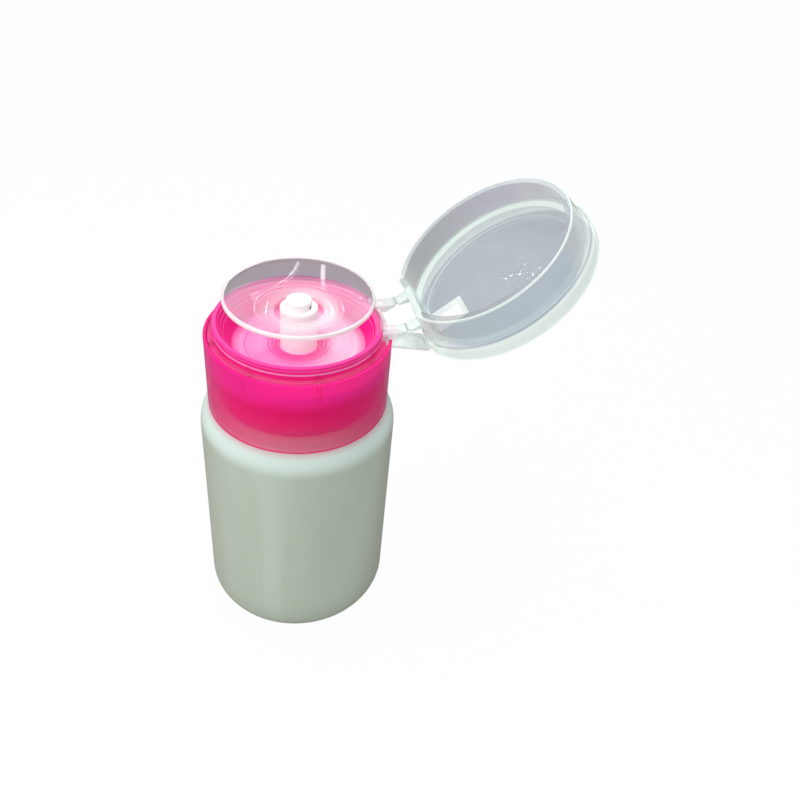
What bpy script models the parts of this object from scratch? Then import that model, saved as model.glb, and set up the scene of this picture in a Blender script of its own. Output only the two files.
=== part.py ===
# Nail polish remover pump: a bottle with a screw collar, a dish that is pressed to pump, and a flip lid.
# Metres, +Z up. The origin is the centre of the bottle's base, and the lid's hinge is on the +X side.
# The lid is modelled shut about its hinge axis and stands open at rest.

import math

import bmesh
import bpy

# Clearances
fit_gap = 0.0003
cut_overrun = 0.0010
union_overlap = 0.0003

# Bottle
bottle_radius = 0.0275
bottle_wall = 0.0012
body_height = 0.0659
shoulder_radius = 0.0100
base_corner_radius = 0.0068
neck_wall = 0.0015

# Collar, from its outside inwards
collar_inset = 0.0025
collar_shoulder_gap = 0.0005
collar_wall = 0.0011
collar_rim_wall = 0.00085
skirt_height = 0.0220
ring_side_gap = 0.00035
ring_width = 0.0014
lip_overhang = 0.0006
lip_wall = 0.00055
lip_rise = 0.00365
lip_height = 0.00305
lip_round = 0.0003
inner_skirt_set_in = 0.00035
inner_skirt_wall = 0.0015
inner_skirt_clearance = 0.0017
groove_depth = 0.0020
web_thickness = 0.0012
bowl_depth = 0.00785
bowl_slope = 0.0039
floor_step_width = 0.0030
floor_step_height = 0.0003
floor_thickness = 0.0016
stem_hole_gap = 0.0004
floor_ring_land = 0.0008
floor_ring_width = 0.0022
floor_ring_height = 0.00035
key_count = 8
key_phase = math.radians(3.7)
key_thickness = 0.0008
key_drop = 0.0018
key_top_drop = 0.0007
inner_line_height = 0.0004
inner_line_thickness = 0.0008
inner_line_stop = 0.0012

# Screw thread
thread_pitch = 0.0035
thread_depth = 0.0010
thread_crest_gap = 0.0004
thread_root_half = 0.0008
thread_crest_half = 0.00045
thread_start = 0.0035
neck_thread_turns = 1.6
collar_thread_turns = 1.15

# Hinge ring, straps and spring band
hinge_overhang = 0.0027
hinge_height = 0.0033
ring_height = 0.0019
ring_key_side_gap = 0.0003
strap_inner = 0.0047
strap_width = 0.0040
strap_thickness = 0.0008
strap_end_thickness = 0.0005
strap_end_gap = 0.00035
strap_face_gap = 0.00025
strap_slope = 0.00025
strap_root_reach = 0.0061
gusset_thickness = 0.00185
gusset_taper = 0.0026
lid_strap_root = 0.0016
riser_inset = 0.0001
riser_wall = 0.0008
lip_cut_half_width = 0.0091
notch_half_width = 0.0070
notch_depth = 0.0075
band_half_width = 0.0040
band_thickness = 0.0007
band_below_hinge = 0.0080
band_head_inset = 0.0018
band_slack = 0.0001
band_fold_gap = 0.00042
band_fold_share = 0.70
tab_half_width = 0.0038
tab_thickness = 0.00095
tab_tail = 0.0005

# Lid, measured from its rim towards its top
lid_seat_gap = 0.0003
lid_rim_overhang = 0.0004
lid_rim_wall = 0.00155
lid_wall_rise = 0.0084
lid_wall_flare = 0.0008
lid_shoulder_out = 0.0014
lid_shoulder_rise = 0.0008
lid_top_draft = 0.00025
lid_height = 0.0136
lid_top_thickness = 0.0012
lid_ledge_height = 0.0087
lid_inner_flare = 0.00155
lid_ledge_width = 0.0018
lid_floor_draft = 0.0002
lid_edge = 0.0002
lid_opening = math.radians(142.6)
panel_inset = 0.0010
panel_thickness = 0.0017
flange_overhang = 0.0004
rim_notch_half_width = 0.0092
rim_notch_gap = 0.00035
band_recess_half_width = 0.0045
window_inset = 0.0003
window_length = 0.0096
window_half_width = 0.0044

# Plunger
stem_radius = 0.0050
stem_rise = 0.0116
stroke = 0.0075
nozzle_radius = 0.00345
nozzle_rise = 0.0023
nozzle_edge = 0.0004
nozzle_tail = 0.0040
nozzle_bore = 0.0019
nozzle_roof = 0.0011
outlet_radius = 0.00055
outlet_drop = 0.0012
outlet_azimuth = math.radians(-37.6)
sleeve_mouth_depth = 0.0025
rod_radius = 0.0038
rod_bore = 0.0019
rod_seat_bore = 0.0010
rod_seat_length = 0.0014
rod_flange_radius = 0.0050
rod_flange_thickness = 0.0010
outlet_ball_radius = 0.00145
dish_side_gap = 0.00165
dish_rim_rise = 0.0036
dish_bowl_drop = 0.0008
dish_hub_wall = 0.0010
dish_hub_top_drop = 0.0005
dish_hub_height = 0.0025
dish_thickness = 0.0011
dish_flat = 0.0017
dish_rim_roll = 0.0006
dish_curve_power = 1.5
dish_curve_steps = 6

# Pump
flange_thickness = 0.0013
flange_side_gap = 0.0008
gasket_thickness = 0.0010
gasket_overhang = 0.0004
wiper_depth = 0.0009
wiper_width = 0.0013
bush_wall = 0.0006
bush_flange_width = 0.0022
bush_flange_thickness = 0.0009
bush_length = 0.0084
seal_height = 0.0040
seal_waist = 0.0008
seal_lip_height = 0.0009
housing_wall = 0.0010
hub_width = 0.0010
hub_height = 0.0012
hub_cone = 0.0018
spring_length = 0.0143
spring_wire_radius = 0.00035
spring_turns = 6
retainer_flange_width = 0.0026
retainer_flange_thickness = 0.0008
retainer_plug_length = 0.0017
retainer_bore = 0.0015
retainer_slot_width = 0.0012
retainer_slot_depth = 0.0008
inlet_ball_radius = 0.0024
inlet_ball_side_gap = 0.0010
inlet_ball_lift = 0.0012
inlet_throat_radius = 0.0016
inlet_throat_length = 0.0014
tail_wall = 0.0010
tail_taper = 0.0005
socket_length = 0.0090
tube_radius = 0.0026
tube_wall = 0.0009
tube_foot_gap = 0.0030
tube_cut_angle = math.radians(38)

# Facets
body_steps = 56
pump_steps = 28
small_steps = 16
wire_sides = 6
wire_steps = 10
thread_steps = 28
corner_steps = 5

# Collar radii
collar_radius = bottle_radius - collar_inset
skirt_inner = collar_radius - collar_wall
rim_inner = collar_radius - collar_rim_wall
ring_outer = rim_inner - ring_side_gap
ring_inner = ring_outer - ring_width
groove_wall = ring_inner - ring_side_gap
lip_outer = groove_wall + lip_overhang
lip_inner = groove_wall - lip_wall
inner_skirt_outer = groove_wall - inner_skirt_set_in
thread_bore = inner_skirt_outer - inner_skirt_wall
neck_radius = thread_bore - thread_crest_gap - thread_depth
bowl_radius = lip_inner - bowl_slope
floor_step_radius = bowl_radius - floor_step_width
dish_radius = lip_inner - dish_side_gap
panel_outer = collar_radius - panel_inset
panel_inner = panel_outer - panel_thickness
flange_flat = collar_radius + flange_overhang
stem_hole = stem_radius + stem_hole_gap

# Heights of the bottle and the collar
shoulder_centre = bottle_radius - shoulder_radius


def shoulder_height(radius):
    reach = max(0.0, radius - shoulder_centre)
    return body_height + math.sqrt(shoulder_radius ** 2 - reach ** 2)


neck_root = shoulder_height(neck_radius)
collar_bottom = shoulder_height(collar_radius) + collar_shoulder_gap
skirt_top = collar_bottom + skirt_height
lip_top = skirt_top + lip_rise
floor_top = lip_top - bowl_depth
floor_under = floor_top - floor_thickness
web_top = skirt_top - groove_depth
web_under = web_top - web_thickness
inner_skirt_bottom = neck_root + inner_skirt_clearance
flange_top = floor_under - fit_gap
flange_under = flange_top - flange_thickness
gasket_top = flange_under - fit_gap
gasket_bottom = gasket_top - gasket_thickness
neck_top = gasket_bottom - fit_gap
ring_bottom = web_top + fit_gap
ring_top = ring_bottom + ring_height

# Hinge
hinge_x = collar_radius + hinge_overhang
hinge_z = skirt_top + hinge_height
lid_rim = skirt_top + lid_seat_gap
band_above_hinge = lid_rim + lid_height - hinge_z - band_head_inset
band_x = panel_outer + fit_gap + band_thickness / 2

# Plunger heights
sleeve_top = floor_top + stem_rise
bush_bottom = flange_top - bush_length
seal_top = bush_bottom - fit_gap
sleeve_bottom = seal_top + fit_gap
seal_bottom = seal_top - seal_height
rod_flange_top = seal_bottom - fit_gap
rod_bottom = rod_flange_top - rod_flange_thickness
nozzle_top = sleeve_top + nozzle_rise
nozzle_bottom = sleeve_top - nozzle_tail
rod_top = nozzle_bottom - fit_gap
sleeve_bore = rod_radius + fit_gap
bush_bore = stem_radius + fit_gap
bush_radius = bush_bore + bush_wall
housing_bore = bush_radius + fit_gap

# Pump heights
spring_top = rod_bottom - fit_gap
spring_bottom = spring_top - spring_length
retainer_top = spring_bottom - fit_gap
retainer_seat = retainer_top - retainer_flange_thickness
spring_seat = retainer_seat - fit_gap
retainer_bottom = retainer_seat - retainer_plug_length
inlet_ball_z = retainer_bottom - fit_gap - inlet_ball_lift - inlet_ball_radius
seat_z = inlet_ball_z + inlet_throat_radius - (inlet_ball_radius + fit_gap) * math.sqrt(2)
socket_top = seat_z - inlet_throat_length
socket_bottom = socket_top - socket_length
chamber_radius = inlet_ball_radius + inlet_ball_side_gap
tail_radius = chamber_radius + tail_wall
socket_radius = tube_radius + fit_gap


def make_material(name, colour, roughness, metallic=0.0, alpha=1.0):
    material = bpy.data.materials.new(name)
    material.use_nodes = True
    shader = material.node_tree.nodes["Principled BSDF"]
    shader.inputs["Base Color"].default_value = (*colour, 1.0)
    shader.inputs["Roughness"].default_value = roughness
    shader.inputs["Metallic"].default_value = metallic
    shader.inputs["Alpha"].default_value = alpha
    return material


def finish_mesh(name, mesh_data, material=None, centre=(0.0, 0.0, 0.0)):
    bmesh.ops.recalc_face_normals(mesh_data, faces=mesh_data.faces)
    bmesh.ops.translate(mesh_data, vec=[-value for value in centre], verts=mesh_data.verts)
    mesh = bpy.data.meshes.new(name)
    mesh_data.to_mesh(mesh)
    mesh_data.free()
    mesh.shade_smooth()
    mesh.set_sharp_from_angle(angle=math.radians(32))
    piece = bpy.data.objects.new(name, mesh)
    piece.location = centre
    bpy.context.collection.objects.link(piece)
    if material:
        mesh.materials.append(material)
    else:
        piece.hide_render = True
        piece.display_type = 'WIRE'
    return piece


# A closed outline of (radius, height) points, turned about the Z axis. Points on the axis become poles.
def turn(name, outline, steps, material=None, centre=(0.0, 0.0, 0.0)):
    mesh_data = bmesh.new()
    rings = []
    for radius, height in outline:
        if radius == 0.0:
            rings.append([mesh_data.verts.new((0.0, 0.0, height))])
            continue
        angles = [2 * math.pi * step / steps for step in range(steps)]
        points = [(radius * math.cos(angle), radius * math.sin(angle), height) for angle in angles]
        rings.append([mesh_data.verts.new(point) for point in points])
    for near, far in zip(rings, rings[1:] + rings[:1]):
        if len(near) == 1 and len(far) == 1:
            continue
        for step in range(steps):
            after = (step + 1) % steps
            corners = [near[0]] if len(near) == 1 else [near[step], near[after]]
            corners += [far[0]] if len(far) == 1 else [far[after], far[step]]
            mesh_data.faces.new(corners)
    return finish_mesh(name, mesh_data, material, centre)


# An outline of (radius, height) points carried along a helix about the Z axis, with closed ends.
def wind(name, outline, pitch, turns, steps, material=None, centre=(0.0, 0.0, 0.0)):
    mesh_data = bmesh.new()
    count = max(2, round(turns * steps)) + 1
    rings = []
    for index in range(count):
        angle = 2 * math.pi * turns * index / (count - 1)
        rise = pitch * turns * index / (count - 1)
        points = [(radius * math.cos(angle), radius * math.sin(angle), height + rise) for radius, height in outline]
        rings.append([mesh_data.verts.new(point) for point in points])
    sides = len(outline)
    for near, far in zip(rings, rings[1:]):
        for side in range(sides):
            after = (side + 1) % sides
            mesh_data.faces.new([near[side], near[after], far[after], far[side]])
    mesh_data.faces.new(rings[0])
    mesh_data.faces.new(rings[-1])
    return finish_mesh(name, mesh_data, material, centre)


# A closed outline of (x, z) points, drawn out along Y between two values.
def extrude(name, outline, low, high, material=None, centre=(0.0, 0.0, 0.0)):
    mesh_data = bmesh.new()
    near = [mesh_data.verts.new((x, low, z)) for x, z in outline]
    far = [mesh_data.verts.new((x, high, z)) for x, z in outline]
    mesh_data.faces.new(near)
    mesh_data.faces.new(far)
    for index in range(len(outline)):
        after = (index + 1) % len(outline)
        mesh_data.faces.new([near[index], near[after], far[after], far[index]])
    return finish_mesh(name, mesh_data, material, centre)


def block(name, low, high, material=None, centre=(0.0, 0.0, 0.0)):
    outline = [(low[0], low[2]), (high[0], low[2]), (high[0], high[2]), (low[0], high[2])]
    return extrude(name, outline, low[1], high[1], material, centre)


def combine(piece, tool, operation):
    modifier = piece.modifiers.new(tool.name, 'BOOLEAN')
    modifier.operation = operation
    modifier.object = tool
    return piece


def cut(piece, tool):
    return combine(piece, tool, 'DIFFERENCE')


def join(piece, tool):
    return combine(piece, tool, 'UNION')


def keep(piece, tool):
    return combine(piece, tool, 'INTERSECT')


def arc(centre_radius, centre_height, radius, start, end, steps):
    angles = [math.radians(start + (end - start) * step / steps) for step in range(steps + 1)]
    return [(centre_radius + radius * math.cos(angle), centre_height + radius * math.sin(angle)) for angle in angles]


# A tooth section whose root stands inside the wall that carries it
def thread_section(root, crest, height):
    return [
        (root, height - thread_root_half),
        (root, height + thread_root_half),
        (crest, height + thread_crest_half),
        (crest, height - thread_crest_half),
    ]


def make_bottle():
    material = make_material("milky_plastic", (0.86, 0.89, 0.86), 0.35)
    lip_angle = math.degrees(math.asin((neck_root - body_height) / shoulder_radius))
    outline = [(0.0, 0.0)]
    outline += arc(bottle_radius - base_corner_radius, base_corner_radius, base_corner_radius, -90, 0, corner_steps)
    outline += arc(shoulder_centre, body_height, shoulder_radius, 0, lip_angle, corner_steps)
    outline += [(neck_radius, neck_top), (neck_radius - neck_wall, neck_top)]
    inner_shoulder = shoulder_radius - bottle_wall
    bore_reach = max(0.0, neck_radius - neck_wall - shoulder_centre)
    bore_angle = math.degrees(math.acos(bore_reach / inner_shoulder))
    outline += [(neck_radius - neck_wall, neck_root)]
    outline += arc(shoulder_centre, body_height, inner_shoulder, bore_angle - corner_steps, 0, corner_steps)
    inner_corner = base_corner_radius - bottle_wall
    outline += arc(bottle_radius - base_corner_radius, base_corner_radius, inner_corner, 0, -90, corner_steps)
    outline += [(0.0, bottle_wall)]
    bottle = turn("bottle", outline, body_steps, material)
    section = thread_section(neck_radius - union_overlap, neck_radius + thread_depth, neck_root + thread_start)
    join(bottle, wind("neck_thread", section, thread_pitch, neck_thread_turns, thread_steps))
    return bottle


def collar_outline():
    ring_start = stem_hole + floor_ring_land
    ring_end = ring_start + floor_ring_width
    wiper_radius = stem_hole + wiper_width + fit_gap
    step_top = floor_top + floor_step_height
    outline = [(stem_hole, floor_top), (ring_start, floor_top)]
    outline += [(ring_start, floor_top + floor_ring_height), (ring_end, floor_top + floor_ring_height)]
    outline += [(ring_end, floor_top), (floor_step_radius, floor_top)]
    outline += [(floor_step_radius + floor_step_height, step_top), (bowl_radius, step_top)]
    outline += [(lip_inner - lip_round, lip_top - lip_round), (lip_inner, lip_top)]
    outline += [(lip_outer - lip_round, lip_top), (lip_outer, lip_top - lip_round)]
    outline += [(lip_outer, lip_top - lip_height), (groove_wall, lip_top - lip_height - lip_round / 2)]
    outline += [(groove_wall, web_top), (rim_inner, web_top)]
    outline += [(rim_inner, skirt_top - lip_round / 2), (rim_inner + lip_round / 2, skirt_top)]
    outline += [(collar_radius - lip_round / 2, skirt_top), (collar_radius, skirt_top - lip_round / 2)]
    skirt_foot = shoulder_height(skirt_inner) + collar_shoulder_gap
    outline += [(collar_radius, collar_bottom), (skirt_inner, skirt_foot), (skirt_inner, web_under)]
    outline += [(inner_skirt_outer, web_under), (inner_skirt_outer, inner_skirt_bottom)]
    outline += [(thread_bore, inner_skirt_bottom), (thread_bore, floor_under)]
    outline += [(wiper_radius, floor_under), (wiper_radius, floor_under + wiper_depth)]
    outline += [(stem_hole, floor_under + wiper_depth)]
    return outline


def key_angles():
    step = 2 * math.pi / key_count
    angles = [key_phase + step * index for index in range(key_count)]
    half_notch = math.asin(notch_half_width / collar_radius)
    return [angle for angle in angles if abs(math.remainder(angle, 2 * math.pi)) > half_notch]


def make_collar():
    material = make_material("pink_plastic", (0.86, 0.04, 0.24), 0.25)
    collar = turn("collar", collar_outline(), body_steps, material)
    for index, angle in enumerate(key_angles()):
        low = (inner_skirt_outer - union_overlap, -key_thickness / 2, web_under - key_drop)
        high = (rim_inner + union_overlap, key_thickness / 2, skirt_top - key_top_drop)
        key = block("collar_key_%d" % index, low, high)
        key.rotation_euler = (0.0, 0.0, angle)
        join(collar, key)
    for index in range(key_count):
        low = (inner_skirt_outer - union_overlap, -inner_line_thickness / 2, inner_skirt_bottom + inner_line_stop)
        high = (inner_skirt_outer + inner_line_height, inner_line_thickness / 2, web_under - inner_line_stop)
        line = block("collar_line_%d" % index, low, high)
        line.rotation_euler = (0.0, 0.0, key_phase + 2 * math.pi * (index + 0.5) / key_count)
        join(collar, line)
    start = neck_root + thread_start + thread_pitch / 2
    section = thread_section(thread_bore + union_overlap, thread_bore - thread_depth - fit_gap / 3, start)
    join(collar, wind("collar_thread", section, thread_pitch, collar_thread_turns, thread_steps))
    notch_low = (groove_wall + 2 * ring_side_gap, -notch_half_width, skirt_top - notch_depth)
    notch_high = (collar_radius + cut_overrun, notch_half_width, skirt_top + cut_overrun)
    cut(collar, block("collar_notch", notch_low, notch_high))
    gap_inner = groove_wall - riser_inset
    gap_outer = lip_outer + cut_overrun
    gap_foot = skirt_top + fit_gap
    gap_top = lip_top + cut_overrun
    low_lip_top = hinge_z - strap_face_gap - strap_slope - strap_thickness - ring_side_gap
    section = [(gap_inner, gap_foot), (gap_outer, gap_foot), (gap_outer, gap_top)]
    section += [(bowl_radius, gap_top), (bowl_radius, low_lip_top), (gap_inner, low_lip_top)]
    lip_gap = turn("collar_lip_gap", section, body_steps)
    span_low = (0.0, -lip_cut_half_width, web_top)
    span_high = (hinge_x, lip_cut_half_width, gap_top + cut_overrun)
    keep(lip_gap, block("collar_lip_span", span_low, span_high))
    cut(collar, lip_gap)
    return collar


# The strap half below the hinge axis, as (x, z) points. Its lid half is the same shape mirrored in the axis height.
def strap_outline(side, root_x):
    face = hinge_z + side * strap_face_gap
    end = hinge_x - strap_end_gap
    root = face + side * strap_slope
    thin = side * strap_end_thickness
    if side > 0:
        return [(root_x, root), (end, face), (end, face + thin), (root_x, root + lid_strap_root)]
    gusset_foot = root - gusset_thickness
    taper_start = end - gusset_taper
    outline = [(root_x, root), (end, face), (end, face + thin), (taper_start, gusset_foot), (ring_inner, gusset_foot)]
    outline += [(ring_inner, root - strap_thickness), (root_x, root - strap_thickness)]
    return outline


def strap_spans():
    return [(strap_inner, strap_inner + strap_width), (-strap_inner - strap_width, -strap_inner)]


def make_hinge_ring(material):
    outline = [(ring_inner, ring_bottom), (ring_outer, ring_bottom), (ring_outer, ring_top), (ring_inner, ring_top)]
    ring = turn("hinge_ring", outline, body_steps, material)
    for index, angle in enumerate(key_angles()):
        half = key_thickness / 2 + ring_key_side_gap
        low = (ring_inner - cut_overrun, -half, ring_bottom - cut_overrun)
        high = (ring_outer + cut_overrun, half, skirt_top - key_top_drop + fit_gap)
        slot = block("ring_slot_%d" % index, low, high)
        slot.rotation_euler = (0.0, 0.0, angle)
        cut(ring, slot)
    riser_inner = ring_inner + riser_inset
    riser_outer = riser_inner + riser_wall
    riser_half = strap_inner + strap_width - riser_inset
    riser_foot = ring_top - union_overlap * 3
    riser_top = hinge_z - strap_face_gap - strap_slope - strap_thickness / 2
    section = [(riser_inner, riser_foot), (riser_outer, riser_foot), (riser_outer, riser_top), (riser_inner, riser_top)]
    riser = turn("ring_riser", section, body_steps)
    keep(riser, block("ring_riser_span", (0.0, -riser_half, ring_bottom), (hinge_x, riser_half, hinge_z)))
    join(ring, riser)
    for index, (low_y, high_y) in enumerate(strap_spans()):
        strap = extrude("ring_strap_%d" % index, strap_outline(-1, hinge_x - strap_root_reach), low_y, high_y)
        join(ring, strap)
    tab_outer = band_x - band_thickness / 2 - fit_gap
    tab_low = (tab_outer - tab_thickness, -tab_half_width, hinge_z - band_below_hinge - tab_tail)
    tab_high = (tab_outer, tab_half_width, ring_bottom + ring_height / 2)
    join(ring, block("ring_tab", tab_low, tab_high))
    return ring


def lid_wall_outline():
    outer_rim = collar_radius + lid_rim_overhang
    wall_end = outer_rim + lid_wall_flare
    shoulder = wall_end + lid_shoulder_out
    top = lid_rim + lid_height
    outline = [(0.0, lid_rim), (outer_rim - lid_edge, lid_rim), (outer_rim, lid_rim + lid_edge)]
    outline += [(wall_end, lid_rim + lid_wall_rise), (shoulder, lid_rim + lid_wall_rise + lid_shoulder_rise)]
    outline += [(shoulder - lid_top_draft, top - lid_edge), (shoulder - lid_top_draft - lid_edge, top), (0.0, top)]
    return outline


def lid_hollow_outline():
    inner_rim = collar_radius + lid_rim_overhang - lid_rim_wall
    ledge_outer = inner_rim + lid_inner_flare
    ledge_inner = ledge_outer - lid_ledge_width
    floor = lid_rim + lid_height - lid_top_thickness
    outline = [(0.0, lid_rim - cut_overrun), (inner_rim, lid_rim - cut_overrun), (inner_rim, lid_rim)]
    outline += [(ledge_outer, lid_rim + lid_ledge_height), (ledge_inner, lid_rim + lid_ledge_height)]
    outline += [(ledge_inner - lid_floor_draft, floor), (0.0, floor)]
    return outline


# The lid is built shut, with its origin on the hinge axis, and its object is then turned open.
def make_lid(material):
    hinge = (hinge_x, 0.0, hinge_z)
    tools = []
    lid = turn("lid", lid_wall_outline(), body_steps, material, hinge)
    hollow = turn("lid_hollow", lid_hollow_outline(), body_steps, None, hinge)
    far = hinge_x + cut_overrun
    top = lid_rim + lid_height + cut_overrun
    bottom = lid_rim - 2 * cut_overrun
    side = collar_radius
    panel = block("lid_panel_back", (panel_inner, -side, bottom), (far, side, top), None, hinge)
    cut(hollow, panel)
    cut(lid, hollow)
    shoulder = lid_rim + lid_wall_rise + lid_shoulder_rise
    flat = block("lid_flat", (panel_outer, -side, bottom), (far, side, shoulder), None, hinge)
    flange = block("lid_flange_flat", (flange_flat, -side, shoulder - fit_gap), (far + cut_overrun, side, top), None, hinge)
    recess_low = (panel_outer, -band_recess_half_width, shoulder - cut_overrun)
    recess = block("lid_band_recess", recess_low, (far, band_recess_half_width, top), None, hinge)
    notch_top = hinge_z - strap_face_gap + rim_notch_gap
    notch_low = (panel_inner - cut_overrun, -rim_notch_half_width, bottom)
    notch = block("lid_rim_notch", notch_low, (far, rim_notch_half_width, notch_top), None, hinge)
    window_far = panel_inner - window_inset
    window_floor = lid_rim + lid_height - lid_top_thickness - cut_overrun
    window_low = (window_far - window_length, -window_half_width, window_floor)
    window_high = (window_far, window_half_width, top)
    window = block("lid_window", window_low, window_high, None, hinge)
    for tool in (flat, flange, recess, notch, window):
        cut(lid, tool)
    tools += [hollow, panel, flat, flange, recess, notch, window]
    for index, (low_y, high_y) in enumerate(strap_spans()):
        strap = extrude("lid_strap_%d" % index, strap_outline(1, panel_outer - union_overlap), low_y, high_y, None, hinge)
        join(lid, strap)
        tools.append(strap)
    lid.rotation_euler = (0.0, lid_opening, 0.0)
    for tool in tools:
        tool.rotation_euler = (0.0, lid_opening, 0.0)
    return lid


# Turns a point of the shut lid about the hinge axis to where it lies with the lid open.
def opened(x, z):
    across = x - hinge_x
    up = z - hinge_z
    turned_x = across * math.cos(lid_opening) + up * math.sin(lid_opening)
    turned_z = up * math.cos(lid_opening) - across * math.sin(lid_opening)
    return hinge_x + turned_x, hinge_z + turned_z


# Each part of the spring band runs from its own pivot to the fold, which bulges outwards while the lid is open.
def make_band(material):
    foot = (band_x, hinge_z - band_below_hinge)
    head = opened(band_x, hinge_z + band_above_hinge)
    length = band_below_hinge + band_above_hinge + 2 * band_slack
    lower_length = length * band_fold_share
    upper_length = length - lower_length
    chord = math.dist(foot, head)
    run = (chord ** 2 + lower_length ** 2 - upper_length ** 2) / (2 * chord)
    bulge = math.sqrt(lower_length ** 2 - run ** 2)
    along = ((head[0] - foot[0]) / chord, (head[1] - foot[1]) / chord)
    fold_x = foot[0] + along[0] * run + along[1] * bulge
    fold_z = foot[1] + along[1] * run - along[0] * bulge
    halves = []
    for name, pivot, part_length in (("band_lower", foot, lower_length), ("band_upper", head, upper_length)):
        angle = math.atan2(fold_z - pivot[1], fold_x - pivot[0])
        end = part_length - band_fold_gap - band_thickness / 2
        outline = arc(0.0, 0.0, band_thickness / 2, 90, 270, corner_steps)
        outline += [(end, -band_thickness / 2), (end, band_thickness / 2)]
        half = extrude(name, outline, -band_half_width, band_half_width, material)
        half.location = (pivot[0], 0.0, pivot[1])
        half.rotation_euler = (0.0, -angle, 0.0)
        halves.append(half)
    return halves


def dish_height(radius, start, foot):
    share = max(0.0, (radius - start) / (dish_radius - start))
    return foot + (sleeve_top + dish_rim_rise - foot) * share ** dish_curve_power


def make_dish(material):
    hub_bore = stem_radius + fit_gap
    hub_outer = hub_bore + dish_hub_wall
    hub_top = sleeve_top - dish_hub_top_drop
    foot = sleeve_top - dish_bowl_drop
    start = hub_outer + dish_flat
    rim_top = sleeve_top + dish_rim_rise
    outline = [(hub_bore, hub_top - dish_hub_height), (hub_bore, hub_top), (hub_outer - fit_gap, hub_top), (hub_outer, foot)]
    rim_start = dish_radius - dish_rim_roll * 2
    radii = [start + (rim_start - start) * step / dish_curve_steps for step in range(dish_curve_steps + 1)]
    outline += [(radius, dish_height(radius, start, foot)) for radius in radii]
    outline += [(rim_start + dish_rim_roll / 2, rim_top), (dish_radius - dish_rim_roll / 2, rim_top)]
    outline += [(dish_radius, rim_top - dish_rim_roll), (dish_radius - dish_rim_roll / 2, rim_top - 2 * dish_rim_roll)]
    outline += [(radius, dish_height(radius, start, foot) - dish_thickness) for radius in reversed(radii[:-1])]
    outline += [(hub_outer, foot - dish_thickness), (hub_outer, hub_top - dish_hub_height)]
    return turn("dish", outline, body_steps, material)


def make_sleeve(material):
    mouth = nozzle_radius + fit_gap
    shoulder = sleeve_top - sleeve_mouth_depth
    outline = [(sleeve_bore, sleeve_bottom), (stem_radius, sleeve_bottom), (stem_radius, sleeve_top), (mouth, sleeve_top)]
    outline += [(mouth, shoulder), (sleeve_bore, shoulder - fit_gap)]
    return turn("stem_sleeve", outline, pump_steps, material)


def make_nozzle(material):
    roof = nozzle_top - nozzle_roof
    outline = [(0.0, roof), (nozzle_bore, roof), (nozzle_bore, nozzle_bottom), (nozzle_radius, nozzle_bottom)]
    outline += [(nozzle_radius, nozzle_top - nozzle_edge), (nozzle_radius - nozzle_edge, nozzle_top), (0.0, nozzle_top)]
    nozzle = turn("nozzle", outline, pump_steps, material)
    reach = nozzle_radius + cut_overrun
    hole = turn("nozzle_outlet", [(0.0, 0.0), (outlet_radius, 0.0), (outlet_radius, reach), (0.0, reach)], small_steps)
    hole.location = (0.0, 0.0, nozzle_top - outlet_drop)
    hole.rotation_euler = (0.0, math.pi / 2, outlet_azimuth)
    return cut(nozzle, hole)


def make_ball(name, radius, height, material):
    outline = [(0.0, -radius)]
    outline += arc(0.0, 0.0, radius, -90, 90, small_steps // 2)[1:-1]
    outline += [(0.0, radius)]
    ball = turn(name, outline, small_steps, material)
    ball.location = (0.0, 0.0, height)
    return ball


def make_rod(material):
    outline = [(rod_bore, rod_bottom), (rod_flange_radius, rod_bottom), (rod_flange_radius, rod_flange_top)]
    outline += [(rod_radius, rod_flange_top), (rod_radius, rod_top), (rod_seat_bore, rod_top)]
    outline += [(rod_seat_bore, rod_top - rod_seat_length), (rod_bore, rod_top - rod_seat_length - rod_bore + rod_seat_bore)]
    return turn("piston_rod", outline, pump_steps, material)


def make_seal(material):
    inner = rod_radius + fit_gap
    outer = housing_bore - fit_gap
    waist = outer - seal_waist
    outline = [(inner, seal_bottom), (outer, seal_bottom), (outer, seal_bottom + seal_lip_height)]
    outline += [(waist, seal_bottom + seal_lip_height + seal_waist), (waist, seal_top - seal_lip_height - seal_waist)]
    outline += [(outer, seal_top - seal_lip_height), (outer, seal_top), (inner, seal_top)]
    return turn("piston_seal", outline, pump_steps, material)


def make_bush(material):
    flange_radius = bush_radius + bush_flange_width
    under = flange_top - bush_flange_thickness
    outline = [(bush_bore, bush_bottom), (bush_radius, bush_bottom), (bush_radius, under), (flange_radius, under)]
    outline += [(flange_radius, flange_top), (bush_bore, flange_top)]
    return turn("stem_bush", outline, pump_steps, material)


def make_wiper(material):
    inner = bush_bore
    outer = stem_hole + wiper_width
    top = floor_under + wiper_depth - fit_gap
    outline = [(inner, floor_under), (outer, floor_under), (outer, top), (inner, top)]
    return turn("stem_wiper", outline, pump_steps, material)


def make_gasket(material):
    inner = neck_radius - neck_wall - gasket_overhang
    outer = neck_radius + gasket_overhang
    outline = [(inner, gasket_bottom), (outer, gasket_bottom), (outer, gasket_top), (inner, gasket_top)]
    return turn("neck_gasket", outline, body_steps, material)


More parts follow.
